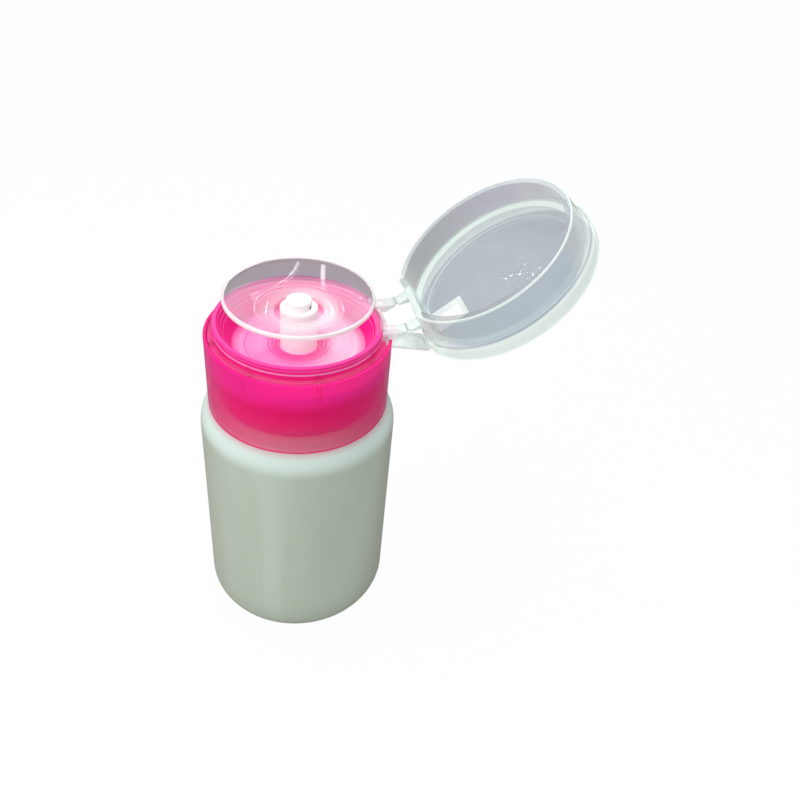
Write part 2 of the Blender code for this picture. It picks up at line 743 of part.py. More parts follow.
def make_housing(material):
    outer = housing_bore + housing_wall
    flange_radius = thread_bore - flange_side_gap
    pocket = bush_radius + bush_flange_width + fit_gap
    pocket_floor = flange_top - bush_flange_thickness - fit_gap
    hub = pocket + hub_width
    body_foot = spring_seat - tail_wall
    tail_end = tail_radius - tail_taper
    outline = [(pocket, flange_top), (flange_radius, flange_top), (flange_radius, flange_under), (hub, flange_under)]
    outline += [(hub, flange_under - hub_height), (outer, flange_under - hub_height - hub_cone), (outer, spring_seat)]
    outline += [(tail_radius, body_foot - outer + tail_radius), (tail_end, socket_bottom), (socket_radius, socket_bottom)]
    outline += [(socket_radius, socket_top), (inlet_throat_radius, socket_top), (inlet_throat_radius, seat_z)]
    outline += [(chamber_radius, seat_z + chamber_radius - inlet_throat_radius), (chamber_radius, spring_seat)]
    outline += [(housing_bore, spring_seat), (housing_bore, pocket_floor), (pocket, pocket_floor)]
    return turn("pump_housing", outline, pump_steps, material)


def make_spring(material):
    coil_radius = rod_flange_radius
    rise = spring_length - 2 * spring_wire_radius
    section = arc(coil_radius, spring_bottom + spring_wire_radius, spring_wire_radius, 0, 360, wire_sides)[:-1]
    return wind("return_spring", section, rise / spring_turns, spring_turns, wire_steps, material)


def make_retainer(material):
    plug = chamber_radius - fit_gap
    outer = plug + retainer_flange_width
    outline = [(retainer_bore, retainer_bottom), (plug, retainer_bottom), (plug, retainer_seat), (outer, retainer_seat)]
    outline += [(outer, retainer_top), (retainer_bore, retainer_top)]
    retainer = turn("ball_retainer", outline, pump_steps, material)
    half = retainer_slot_width / 2
    reach = plug + cut_overrun
    top = retainer_bottom + retainer_slot_depth
    bottom = retainer_bottom - cut_overrun
    cut(retainer, block("retainer_slot_x", (-reach, -half, bottom), (reach, half, top)))
    cut(retainer, block("retainer_slot_y", (-half, -reach, bottom), (half, reach, top)))
    return retainer


def make_tube(material):
    bottom = bottle_wall + tube_foot_gap
    top = socket_top - fit_gap
    bore = tube_radius - tube_wall
    outline = [(bore, bottom), (tube_radius, bottom), (tube_radius, top), (bore, top)]
    tube = turn("dip_tube", outline, pump_steps, material)
    reach = tube_radius * 3
    knife = block("tube_knife", (-reach, -reach, -reach), (reach, reach, 0.0))
    knife.location = (0.0, 0.0, bottom + tube_radius)
    knife.rotation_euler = (0.0, tube_cut_angle, 0.0)
    return cut(tube, knife)


def main():
    for old in list(bpy.data.objects):
        bpy.data.objects.remove(old, do_unlink=True)
    clear = make_material("clear_plastic", (0.80, 0.85, 0.86), 0.12, alpha=0.5)
    white = make_material("white_plastic", (0.90, 0.88, 0.88), 0.3)
    natural = make_material("natural_plastic", (0.86, 0.87, 0.84), 0.4)
    soft = make_material("soft_seal", (0.82, 0.82, 0.80), 0.7)
    steel = make_material("spring_steel", (0.62, 0.62, 0.62), 0.25, metallic=1.0)
    make_bottle()
    make_collar()
    make_hinge_ring(clear)
    make_lid(clear)
    make_band(clear)
    make_dish(make_material("dish_plastic", (0.88, 0.88, 0.89), 0.08, alpha=0.4))
    make_sleeve(white)
    make_nozzle(white)
    ball_rise = math.sqrt((outlet_ball_radius + fit_gap) ** 2 - rod_seat_bore ** 2)
    make_ball("outlet_ball", outlet_ball_radius, rod_top + ball_rise, steel)
    make_rod(white)
    make_seal(soft)
    make_bush(natural)
    make_wiper(soft)
    make_gasket(soft)
    make_housing(natural)
    make_spring(steel)
    make_retainer(natural)
    make_ball("inlet_ball", inlet_ball_radius, inlet_ball_z, steel)
    make_tube(natural)
    bpy.context.view_layer.update()


main()
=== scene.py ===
import math
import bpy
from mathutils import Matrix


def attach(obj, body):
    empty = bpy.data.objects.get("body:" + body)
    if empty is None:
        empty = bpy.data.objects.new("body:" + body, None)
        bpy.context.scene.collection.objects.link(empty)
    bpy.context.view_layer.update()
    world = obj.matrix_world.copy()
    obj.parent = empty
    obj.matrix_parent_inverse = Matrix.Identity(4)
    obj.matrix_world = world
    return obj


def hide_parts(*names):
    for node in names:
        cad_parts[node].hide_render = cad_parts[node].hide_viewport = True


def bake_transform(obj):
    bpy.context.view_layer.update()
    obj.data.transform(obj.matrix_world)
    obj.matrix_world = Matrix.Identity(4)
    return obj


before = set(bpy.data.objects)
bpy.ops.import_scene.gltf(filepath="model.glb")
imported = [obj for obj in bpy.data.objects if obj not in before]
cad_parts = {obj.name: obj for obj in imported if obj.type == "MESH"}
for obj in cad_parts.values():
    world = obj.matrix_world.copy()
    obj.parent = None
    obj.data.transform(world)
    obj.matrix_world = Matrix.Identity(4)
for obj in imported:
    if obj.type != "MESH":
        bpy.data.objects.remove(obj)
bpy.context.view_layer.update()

from types import SimpleNamespace

import bmesh
import bpy
from mathutils import Matrix, Vector

print("frame loaded with", len(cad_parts), "nodes")

overrun = 1.0        # how far a cutter runs past what it cuts
circleGuide = 10.0   # radius of the guide circle that outlines are swept round
turnSteps = 224
coilSteps = 96
cornerReach = 0.46   # most of a side that a rounded corner takes up
smoothAngle = 35.0   # degrees; edges that bend less are shaded smooth
mergeWithin = 0.0005


def mm(value):
    return value * 0.001


# Node helpers

def addNode(tree, kind, **settings):
    node = tree.nodes.new(kind)
    for key, value in settings.items():
        setattr(node, key, value)
    return node


def feed(tree, value, socket):
    if isinstance(value, Field):
        value = value.socket
    if isinstance(value, bpy.types.NodeSocket):
        tree.links.new(value, socket)
    elif value is not None:
        socket.default_value = value


# A node whose inputs are fed by name or by number
def fedNode(tree, kind, feeds, **settings):
    node = addNode(tree, kind, **settings)
    for name, value in feeds.items():
        feed(tree, value, node.inputs[name])
    return node


def maths(tree, operation, *values, clamp=False):
    node = fedNode(tree, "ShaderNodeMath", dict(enumerate(values)), operation=operation, use_clamp=clamp)
    return Field(tree, node.outputs[0])


# A node's output, with sums and masks written as plain expressions that add the nodes
class Field:
    def __init__(self, tree, socket):
        self.tree, self.socket = tree, socket

    def __add__(self, other):
        return maths(self.tree, "ADD", self, other)

    def __sub__(self, other):
        return maths(self.tree, "SUBTRACT", self, other)

    def __mul__(self, other):
        return maths(self.tree, "MULTIPLY", self, other)

    def __pow__(self, other):
        return maths(self.tree, "POWER", self, other)

    def __abs__(self):
        return maths(self.tree, "ABSOLUTE", self)

    def orMore(self, other):
        return maths(self.tree, "MAXIMUM", self, other)

    # 0 below low, 1 above high, smooth between; a high under low turns it round
    def ramp(self, low, high):
        feeds = {"Value": self, "From Min": low, "From Max": high}
        node = fedNode(self.tree, "ShaderNodeMapRange", feeds, interpolation_type="SMOOTHSTEP")
        return Field(self.tree, node.outputs["Result"])

    # first where this is 0, second where it is 1
    def mix(self, first, second):
        node = fedNode(self.tree, "ShaderNodeMix", {0: self, 2: first, 3: second}, data_type="FLOAT")
        return Field(self.tree, node.outputs[0])

    def tint(self, first, second):
        first, second = [(*value, 1) if isinstance(value, tuple) else value for value in (first, second)]
        node = fedNode(self.tree, "ShaderNodeMix", {0: self, 6: first, 7: second}, data_type="RGBA")
        return Field(self.tree, node.outputs[2])


# Lays colours over a base one after another, each where its mask is 1
def tinted(colour, *layers):
    for mask, over in layers:
        colour = mask.tint(colour, over)
    return colour


def mixed(value, *layers):
    for mask, over in layers:
        value = mask.mix(value, over)
    return value


def noise(tree, vector, scale, detail, rough, distortion=0.0):
    feeds = {"Vector": vector, "Scale": scale, "Detail": detail, "Roughness": rough, "Distortion": distortion}
    return Field(tree, fedNode(tree, "ShaderNodeTexNoise", feeds).outputs["Fac"])


def bump(tree, height, strength, distance, normal=None):
    feeds = {"Height": height, "Strength": strength, "Distance": mm(distance), "Normal": normal}
    return fedNode(tree, "ShaderNodeBump", feeds).outputs["Normal"]


def newGroup(name, kind, inputs, outputs):
    tree = bpy.data.node_groups.new(name, kind)
    for direction, sockets in (("INPUT", inputs), ("OUTPUT", outputs)):
        for label, socketType, value in sockets:
            socket = tree.interface.new_socket(name=label, in_out=direction, socket_type=socketType)
            if value is not None:
                socket.default_value = value
    return tree, tree.nodes.new("NodeGroupInput").outputs, tree.nodes.new("NodeGroupOutput").inputs


def rayKind(tree, label):
    return Field(tree, addNode(tree, "ShaderNodeLightPath").outputs[label])


# Shared surface effect: moulding flow, fine grain and a few rubbed marks, all from Object coordinates

def makeMouldedGroup():
    tree, given, result = newGroup("mouldedSurface", "ShaderNodeTree", [
        ("Vector", "NodeSocketVector", None),
        ("Flow Scale", "NodeSocketFloat", 60.0),
        ("Grain Scale", "NodeSocketFloat", 900.0),
        ("Stretch", "NodeSocketVector", (1.0, 1.0, 0.35)),
    ], [("Flow", "NodeSocketFloat", None), ("Grain", "NodeSocketFloat", None), ("Marks", "NodeSocketFloat", None)])
    stretch = fedNode(tree, "ShaderNodeVectorMath", {0: given["Vector"], 1: given["Stretch"]}, operation="MULTIPLY")
    feed(tree, noise(tree, stretch.outputs[0], given["Flow Scale"], 4.0, 0.55, 1.6), result["Flow"])
    feed(tree, noise(tree, given["Vector"], given["Grain Scale"], 2.0, 0.6), result["Grain"])
    scuffScale = maths(tree, "MULTIPLY", given["Flow Scale"], 7.0)
    scuff = noise(tree, stretch.outputs[0], scuffScale, 6.0, 0.75, 0.4)
    feed(tree, scuff.ramp(0.6, 0.72), result["Marks"])
    return tree


mouldedGroup = makeMouldedGroup()


plasticIor = 1.5


class Surface:
    # A material with a Principled shader, and the shared effect read in Object coordinates
    def __init__(self, name, roughness, flowScale=60.0, grainScale=900.0, stretch=(1.0, 1.0, 0.35), place=None):
        self.material = bpy.data.materials.new(name)
        self.material.use_nodes = True
        self.tree = self.material.node_tree
        self.shader = self.tree.nodes["Principled BSDF"]
        coordinates = addNode(self.tree, "ShaderNodeTexCoord").outputs["Object"]
        if place:
            feeds = {"Vector": coordinates, "Location": place[0], "Rotation": place[1]}
            coordinates = fedNode(self.tree, "ShaderNodeMapping", feeds, vector_type="TEXTURE").outputs["Vector"]
        self.vector = coordinates
        feeds = {"Vector": coordinates, "Flow Scale": flowScale, "Grain Scale": grainScale, "Stretch": stretch}
        effect = fedNode(self.tree, "ShaderNodeGroup", feeds, node_tree=mouldedGroup)
        self.flow, self.grain, self.marks = [Field(self.tree, output) for output in effect.outputs]
        parts = fedNode(self.tree, "ShaderNodeSeparateXYZ", {0: coordinates})
        self.x, self.y, self.z = [Field(self.tree, output) * 1000.0 for output in parts.outputs]
        self.set(roughness=roughness)

    # Distance in millimetres from an axis that stands along Z at x
    def axisDistance(self, x=0.0):
        squares = (self.x + x) ** 2.0 + self.y ** 2.0
        return maths(self.tree, "SQRT", squares)

    def set(self, **values):
        for name, value in values.items():
            label = {
                "baseColor": "Base Color", "ior": "IOR", "coat": "Coat Weight", "coatRoughness": "Coat Roughness",
                "specular": "Specular IOR Level", "subsurface": "Subsurface Weight", "spreadColour": "Subsurface Radius",
                "spread": "Subsurface Scale", "emission": "Emission Color", "emissionStrength": "Emission Strength",
            }.get(name, name.capitalize())
            feed(self.tree, value, self.shader.inputs[label])

    def facing(self, blend):
        return Field(self.tree, fedNode(self.tree, "ShaderNodeLayerWeight", {"Blend": blend}).outputs["Facing"])

    # Painted light: an emitted colour standing in for light that has spread through the plastic and leaves it here
    def glow(self, share, colour):
        self.set(emission=share.tint((0.0, 0.0, 0.0), colour), emissionStrength=1.0)

    # See-through plastics hold back only a share of the light that falls through them
    def alphaWithShadow(self, alpha, share):
        return rayKind(self.tree, "Is Shadow Ray").mix(alpha, alpha * share)

    def relief(self, shape, shapeDepth, grainDepth, strength=1.0):
        self.set(normal=bump(self.tree, self.grain, 1.0, grainDepth, bump(self.tree, shape, strength, shapeDepth)))


# Geometry Nodes: an outline turned about Z, copies round a ring, and a coil

def closeTree(tree, given, result, geometry):
    real = fedNode(tree, "GeometryNodeRealizeInstances", {"Geometry": geometry})
    painted = fedNode(tree, "GeometryNodeSetMaterial", {"Geometry": real.outputs[0], "Material": given["Material"]})
    feed(tree, painted.outputs[0], result["Geometry"])


geometryOut = [("Geometry", "NodeSocketGeometry", None)]
materialIn = [("Material", "NodeSocketMaterial", None)]


# The mesh's own (radius, 0, height) edges become the cross-section that follows a curve
def sectionFrom(tree, given, guide):
    line = fedNode(tree, "GeometryNodeMeshToCurve", {"Mesh": given["Geometry"]})
    position = addNode(tree, "GeometryNodeInputPosition")
    parts = fedNode(tree, "ShaderNodeSeparateXYZ", {"Vector": position.outputs[0]})
    across, up = Field(tree, parts.outputs["X"]), Field(tree, parts.outputs["Z"])
    flat = fedNode(tree, "ShaderNodeCombineXYZ", {"X": across - guide, "Y": up * -1.0})
    return fedNode(tree, "GeometryNodeSetPosition", {"Geometry": line.outputs[0], "Position": flat.outputs[0]}).outputs[0]


def sweptAlong(tree, curve, section, **caps):
    upright = fedNode(tree, "GeometryNodeSetCurveNormal", {"Curve": curve.outputs[0]}, mode="Z_UP")
    return fedNode(tree, "GeometryNodeCurveToMesh", {"Curve": upright.outputs[0], "Profile Curve": section, **caps}).outputs[0]


def makeTurnedTree():
    tree, given, result = newGroup("turnedOutline", "GeometryNodeTree", geometryOut + [
        ("Steps", "NodeSocketInt", turnSteps), ("Guide Radius", "NodeSocketFloat", mm(circleGuide))] + materialIn, geometryOut)
    section = sectionFrom(tree, given, given["Guide Radius"])
    circle = fedNode(tree, "GeometryNodeCurvePrimitiveCircle", {"Resolution": given["Steps"], "Radius": given["Guide Radius"]})
    swept = sweptAlong(tree, circle, section)
    merged = fedNode(tree, "GeometryNodeMergeByDistance", {"Geometry": swept, "Distance": mm(2 * mergeWithin)})
    closeTree(tree, given, result, merged.outputs[0])
    return tree


def makeRingTree():
    tree, given, result = newGroup("copiesRoundRing", "GeometryNodeTree", geometryOut + [
        ("Count", "NodeSocketInt", 8), ("Phase", "NodeSocketFloat", 0.0),
        ("Left Out", "NodeSocketInt", -1)] + materialIn, geometryOut)
    points = fedNode(tree, "GeometryNodePoints", {"Count": given["Count"]})
    index = addNode(tree, "GeometryNodeInputIndex").outputs[0]
    angle = maths(tree, "DIVIDE", index, given["Count"]) * (2 * math.pi) + given["Phase"]
    turn = fedNode(tree, "ShaderNodeCombineXYZ", {"Z": angle})
    wanted = fedNode(tree, "FunctionNodeCompare", {}, data_type="INT", operation="NOT_EQUAL")
    feed(tree, index, wanted.inputs[2])
    feed(tree, given["Left Out"], wanted.inputs[3])
    copies = fedNode(tree, "GeometryNodeInstanceOnPoints", {
        "Points": points.outputs[0], "Selection": wanted.outputs[0], "Instance": given["Geometry"], "Rotation": turn.outputs[0]})
    closeTree(tree, given, result, copies.outputs[0])
    return tree


def makeCoilTree():
    tree, given, result = newGroup("coil", "GeometryNodeTree", geometryOut + [
        ("Turns", "NodeSocketFloat", 1.0), ("Pitch", "NodeSocketFloat", mm(3.5)), ("Radius", "NodeSocketFloat", mm(10)),
        ("Steps Per Turn", "NodeSocketInt", coilSteps)] + materialIn, geometryOut)
    section = sectionFrom(tree, given, given["Radius"])
    height = maths(tree, "MULTIPLY", given["Turns"], given["Pitch"])
    spiral = fedNode(tree, "GeometryNodeCurveSpiral", {
        "Resolution": given["Steps Per Turn"], "Rotations": given["Turns"],
        "Start Radius": given["Radius"], "End Radius": given["Radius"], "Height": height})
    closeTree(tree, given, result, sweptAlong(tree, spiral, section, **{"Fill Caps": True}))
    return tree


turnedTree = makeTurnedTree()
ringTree = makeRingTree()
coilTree = makeCoilTree()


# Mesh helpers: lengths come in millimetres

def newObject(name, data):
    piece = bpy.data.objects.new(name, data)
    bpy.context.scene.collection.objects.link(piece)
    return piece


def settle(piece, material=None):
    # The modifiers' result becomes the piece's own mesh, with its faces pointing out and its edges softened in shading
    bpy.context.view_layer.update()
    graph = bpy.context.evaluated_depsgraph_get()
    mesh = bpy.data.meshes.new_from_object(piece.evaluated_get(graph), depsgraph=graph)
    piece.modifiers.clear()
    piece.data = mesh
    work = bmesh.new()
    work.from_mesh(mesh)
    bmesh.ops.remove_doubles(work, verts=work.verts, dist=mm(mergeWithin))
    bmesh.ops.recalc_face_normals(work, faces=work.faces)
    work.to_mesh(mesh)
    work.free()
    mesh.shade_smooth()
    mesh.set_sharp_from_angle(angle=math.radians(smoothAngle))
    if material:
        mesh.materials.clear()
        mesh.materials.append(material)
    return piece


def runTree(piece, tree, **values):
    modifier = piece.modifiers.new(tree.name, "NODES")
    modifier.node_group = tree
    for item in tree.interface.items_tree:
        if item.item_type == "SOCKET" and item.in_out == "INPUT" and item.name in values:
            modifier[item.identifier] = values[item.name]


def bentPoint(start, middle, end, share):
    return (1 - share) ** 2 * start + 2 * share * (1 - share) * middle + share ** 2 * end


# Corners given as (radius, height, softness) are rounded by their softness
def softened(corners, closed=True, steps=4):
    points = []
    count = len(corners)
    for index, corner in enumerate(corners):
        here = Vector(corner[:2])
        soft = corner[2] if len(corner) > 2 else 0.0
        if not soft or (not closed and index in (0, count - 1)):
            points.append(tuple(here))
            continue
        toBefore = Vector(corners[index - 1][:2]) - here
        toAfter = Vector(corners[(index + 1) % count][:2]) - here
        reach = min(soft, toBefore.length * cornerReach, toAfter.length * cornerReach)
        start = here + toBefore.normalized() * reach
        end = here + toAfter.normalized() * reach
        points += [tuple(bentPoint(start, here, end, step / steps)) for step in range(steps + 1)]
    return points


def outlined(name, points, closed, material, tree, **values):
    mesh = bpy.data.meshes.new(name)
    count = len(points)
    edges = [(index, (index + 1) % count) for index in range(count if closed else count - 1)]
    mesh.from_pydata([(mm(across), 0.0, mm(up)) for across, up in points], edges, [])
    piece = newObject(name, mesh)
    runTree(piece, tree, Material=material, **values)
    return settle(piece, material)


def turned(name, corners, material, closed=True, steps=turnSteps, softSteps=4):
    points = softened(corners, closed, softSteps)
    return outlined(name, points, closed, material, turnedTree, **{"Steps": steps, "Guide Radius": mm(circleGuide)})


def coiled(name, corners, radius, pitch, turns, material, steps=coilSteps):
    values = {"Turns": turns, "Pitch": mm(pitch), "Radius": mm(radius), "Steps Per Turn": steps}
    return outlined(name, softened(corners), True, material, coilTree, **values)


# A solid between two loops with the same number of corners
def bridged(name, near, far):
    work = bmesh.new()
    near, far = [[work.verts.new([mm(value) for value in corner]) for corner in loop] for loop in (near, far)]
    work.faces.new(near)
    work.faces.new(far)
    for index in range(len(near)):
        after = (index + 1) % len(near)
        work.faces.new([near[index], near[after], far[after], far[index]])
    bmesh.ops.recalc_face_normals(work, faces=work.faces)
    mesh = bpy.data.meshes.new(name)
    work.to_mesh(mesh)
    work.free()
    return newObject(name, mesh)


# A flat outline of (x, z) corners drawn out along Y
def drawnOut(name, corners, low, high, material=None, bevel=0.0):
    points = softened(corners)
    piece = bridged(name, [(x, low, z) for x, z in points], [(x, high, z) for x, z in points])
    if bevel:
        edges = piece.modifiers.new("edges", "BEVEL")
        edges.width = mm(bevel)
        edges.segments = 3
        edges.limit_method = "ANGLE"
        edges.angle_limit = math.radians(40)
    return settle(piece, material)


def block(name, low, high, material=None, bevel=0.0):
    corners = [(low[0], low[2]), (high[0], low[2]), (high[0], high[2]), (low[0], high[2])]
    return drawnOut(name, corners, low[1], high[1], material, bevel)


def change(piece, operation, *tools):
    for tool in tools:
        modifier = piece.modifiers.new(tool.name, "BOOLEAN")
        modifier.operation = operation
        modifier.solver = "EXACT"
        modifier.object = tool
    material = piece.data.materials[0] if piece.data.materials else None
    settle(piece, material)
    for tool in tools:
        bpy.data.objects.remove(tool, do_unlink=True)


def move(piece, matrix):
    piece.data.transform(matrix)
    piece.data.update()


def fasten(piece, body, slot, *nodes):
    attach(piece, body)
    if nodes:
        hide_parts(*nodes)


# Camera, at the photograph's viewing angle

cameraSettings = {
    "location": (-24.96, -177.57, 213.9),
    "turn": 17.22,        # degrees from +Y towards +X
    "down": 38.13,
    "roll": 5.93,
    "lens": 35.907,
}


def makeCamera(own):
    turn, down, roll = [math.radians(angle) for angle in (own.turn, own.down, own.roll)]
    forward = Vector((math.sin(turn) * math.cos(down), math.cos(turn) * math.cos(down), -math.sin(down)))
    level = Vector((math.cos(turn), -math.sin(turn), 0.0))
    above = level.cross(forward)
    right = level * math.cos(roll) + above * math.sin(roll)
    up = above * math.cos(roll) - level * math.sin(roll)
    data = bpy.data.cameras.new("photoCamera")
    data.lens = own.lens
    data.sensor_width = 36.0
    data.clip_start = 0.01
    camera = newObject("photoCamera", data)
    turnMatrix = Matrix((right, up, -forward)).transposed().to_4x4()
    camera.matrix_world = Matrix.Translation([mm(value) for value in own.location]) @ turnMatrix
    bpy.context.scene.camera = camera


makeCamera(SimpleNamespace(**cameraSettings))
print("camera placed")


# Studio: a pale floor and world that show white, and soft lamps

studioSettings = {
    "fill": 0.46,
    "floorShow": 0.965,      # share of the floor's look that is plain white
    "floorBright": 0.9,      # how bright it is to the surfaces
    "floorGloss": 0.3,       # how bright the floor is in reflections
    "lamps": [
        # name, location, size, watts, colour; these light the surfaces but show in no reflection
        ("topSoftbox", (-60, 60, 640), 420, 2.2, (0.94, 0.98, 1.0)),
        ("leftKey", (-520, -240, 330), 320, 1.1, (1.0, 0.99, 0.95)),
        ("frontFill", (60, -560, 420), 260, 0.42, (1.0, 0.97, 0.94)),
    ],
    "strips": [
        # name, both ends, width, watts, colour; these show in reflections only
        ("streakLeft", (9, 73, 703), (252, 407, 462), 11, 0.24, (0.96, 0.97, 1.0)),
        ("streakRight", (-122, 120, 682), (-71, 350, 590), 24, 0.22, (1.0, 1.0, 1.0)),
        ("dishGlow", (37, 477, 470), (19, 530, 377), 34, 0.1, (1.0, 0.97, 0.93)),
        ("lidGlint", (-150, 500, 388), (-138, 502, 391), 10, 0.012, (1.0, 1.0, 1.0)),
        ("bowlGlint", (104, 476, 404), (112, 488, 456), 16, 0.07, (1.0, 0.97, 0.99)),
    ],
    "aim": (5, 0, 80),
}


white = (1.0, 1.0, 1.0, 1.0)


def seenByEye(tree):
    return maths(tree, "ADD", rayKind(tree, "Is Camera Ray"), rayKind(tree, "Is Transmission Ray"), clamp=True)


# A lamp that faces the object, with its length laid along the given direction
def placeLamp(name, place, along, size, watts, colour):
    data = bpy.data.lights.new(name, "AREA")
    data.shape = "RECTANGLE"
    data.size, data.size_y = mm(size[0]), mm(size[1])
    data.energy = watts
    data.color = colour
    lamp = newObject(name, data)
    back = (place - Vector(studioSettings["aim"])).normalized()
    across = (along - back * along.dot(back)).normalized()
    turn = Matrix((across, back.cross(across), back)).transposed().to_4x4()
    lamp.matrix_world = Matrix.Translation(place * 0.001) @ turn
    return lamp


def makeStudio(own):
    scene = bpy.context.scene
    scene.view_settings.view_transform = "Standard"
    world = bpy.data.worlds.new("studio")
    scene.world = world
    world.use_nodes = True
    tree = world.node_tree
    shade = tree.nodes["Background"]
    feed(tree, white, shade.inputs["Color"])
    feed(tree, seenByEye(tree).mix(own.fill, 1.0), shade.inputs["Strength"])

    floorMaterial = bpy.data.materials.new("studioFloor")
    floorMaterial.use_nodes = True
    tree = floorMaterial.node_tree
    tree.nodes.clear()
    bright = rayKind(tree, "Is Glossy Ray").mix(own.floorBright, own.floorGloss)
    lit = fedNode(tree, "ShaderNodeBsdfDiffuse", {"Color": bright})
    plain = fedNode(tree, "ShaderNodeEmission", {"Color": white})
    shaders = {0: seenByEye(tree) * own.floorShow, 1: lit.outputs[0], 2: plain.outputs[0]}
    fedNode(tree, "ShaderNodeOutputMaterial", {"Surface": fedNode(tree, "ShaderNodeMixShader", shaders).outputs[0]})
    floorMesh = bpy.data.meshes.new("floor")
    floorMesh.from_pydata([(-3, -3, 0), (3, -3, 0), (3, 3, 0), (-3, 3, 0)], [], [(0, 1, 2, 3)])
    floorMesh.materials.append(floorMaterial)
    floor = newObject("floor", floorMesh)
    floor.location.z = mm(-0.05)

    for name, place, size, watts, colour in own.lamps:
        lamp = placeLamp(name, Vector(place), Vector((1, 0, 0)), (size, size), watts, colour)
        lamp.visible_glossy = False
    for name, start, end, width, watts, colour in own.strips:
        along = Vector(end) - Vector(start)
        middle = (Vector(start) + Vector(end)) / 2
        lamp = placeLamp(name, middle, along.normalized(), (along.length, width), watts, colour)
        lamp.visible_diffuse = False


makeStudio(SimpleNamespace(**studioSettings))
print("studio ready")


# Heights that the pieces share, in millimetres from the base, and the hinge

heights = SimpleNamespace(
    collarBottom=73.01, skirtTop=95.01, lipTop=98.66, lipLine=96.66, lipFoot=95.61, floorTop=90.81, floorUnder=89.21,
    webTop=93.01, webUnder=91.81, neckTop=86.01, neckRoot=75.82, lidRim=95.31, hinge=98.31, stemTop=102.41, nozzleTop=104.71)
hingeX = 27.7
lidAngle = math.radians(142.6)
hingePoint = Vector((mm(hingeX), 0.0, mm(heights.hinge)))
openLid = Matrix.Translation(hingePoint) @ Matrix.Rotation(lidAngle, 4, "Y") @ Matrix.Translation(-hingePoint)


def arcCorners(centre, radius, start, end, steps):
    angles = [math.radians(start + (end - start) * step / steps) for step in range(steps + 1)]
    return [(centre[0] + radius * math.cos(angle), centre[1] + radius * math.sin(angle)) for angle in angles]


# Bottle: milky blown plastic with a screw neck

bottleSettings = {
    "radius": 27.5, "wall": 1.2, "wallTop": 65.9, "shoulder": 10.0, "footCorner": 6.8, "pushUp": 0.9, "pushUpRadius": 16.0,
    "neck": 18.8, "neckWall": 1.5, "threadTurns": 1.6, "threadPitch": 3.5, "threadStart": 3.5,
    # The foot colour is painted shade at the base, the edge colour painted shade at the silhouettes, the shoulder
    # colour painted light on the shoulder, and the glow colour painted pink light at the neck
    "colour": (0.51, 0.59, 0.51), "shade": (0.46, 0.53, 0.44), "foot": (0.33, 0.37, 0.30), "shoulderColour": (0.67, 0.79, 0.74),
    "edgeColour": (0.43, 0.44, 0.365), "glowColour": (0.70, 0.52, 0.53), "roughness": 0.42,
}


def makeBottleSurface(own):
    surface = Surface("milkyPlastic", own.roughness, 26.0, 700.0, (1.0, 1.0, 0.3))
    z = surface.z
    # Painted light and shade: darker towards the base and at the silhouettes, lighter on the shoulder, and pink light
    # at the neck under the collar; the flow tint is random tone
    colour = tinted(
        surface.flow.ramp(0.35, 0.68).tint(own.shade, own.colour),
        (z.ramp(14.0, 0.0) * 0.75, own.foot), (surface.facing(0.5).ramp(0.35, 1.0) * 0.8, own.edgeColour),
        (z.ramp(65.5, 70.5), own.shoulderColour), (z.ramp(71.2, 72.6) * 0.75, own.glowColour))
    seam = abs(surface.y).ramp(0.28, 0.05)
    surface.set(
        baseColor=colour, subsurface=0.12, spreadColour=(1.0, 1.0, 0.8), spread=mm(2.5), ior=plasticIor, specular=0.2,
        roughness=surface.marks.mix(own.roughness, own.roughness + 0.1))
    surface.relief(seam * 0.6 + surface.flow * 0.8, 0.06, 0.006)
    return surface.material


def makeBottle(own):
    material = makeBottleSurface(own)
    radius, foot, shoulder, wall = own.radius, own.footCorner, own.shoulder, own.wall
    centre = radius - shoulder
    top, neck, inner = own.wallTop, own.neck, own.neck - own.neckWall
    lean = math.degrees(math.acos((neck - centre) / shoulder))
    pushUp, dent, root, rim = own.pushUp, own.pushUpRadius, heights.neckRoot, heights.neckTop
    corners = [
        (0.0, pushUp), (dent, pushUp, 1.5), (dent + 2.2, 0.0, 1.2), *arcCorners((radius - foot, foot), foot, -90, 0, 14),
        *arcCorners((centre, top), shoulder, 0, lean - 4, 14), (neck, root + 0.5, 0.5), (neck, rim, 0.3), (inner, rim, 0.3),
        (inner, root - wall, 0.8), *arcCorners((centre, top), shoulder - wall, 75, 0, 10),
        *arcCorners((radius - foot, foot), foot - wall, 0, -90, 10), (dent + 2.0, wall, 1.0),
        (dent - 0.5, pushUp + wall, 1.0), (0.0, pushUp + wall)]
    bottle = turned("bottleShell", corners, material, closed=False)
    fasten(bottle, "bottle_body", "bottle", "bottle")
    middle = heights.neckRoot + own.threadStart
    ridge = [
        (neck - 0.4, middle - 0.9), (neck - 0.4, middle + 0.9),
        (neck + 1.0, middle + 0.42, 0.25), (neck + 1.0, middle - 0.42, 0.25)]
    thread = coiled("neckThread", ridge, neck, own.threadPitch, own.threadTurns, material)
    fasten(thread, "bottle_body", "bottle")


makeBottle(SimpleNamespace(**bottleSettings))
print("bottle made")


# Collar: pink see-through plastic

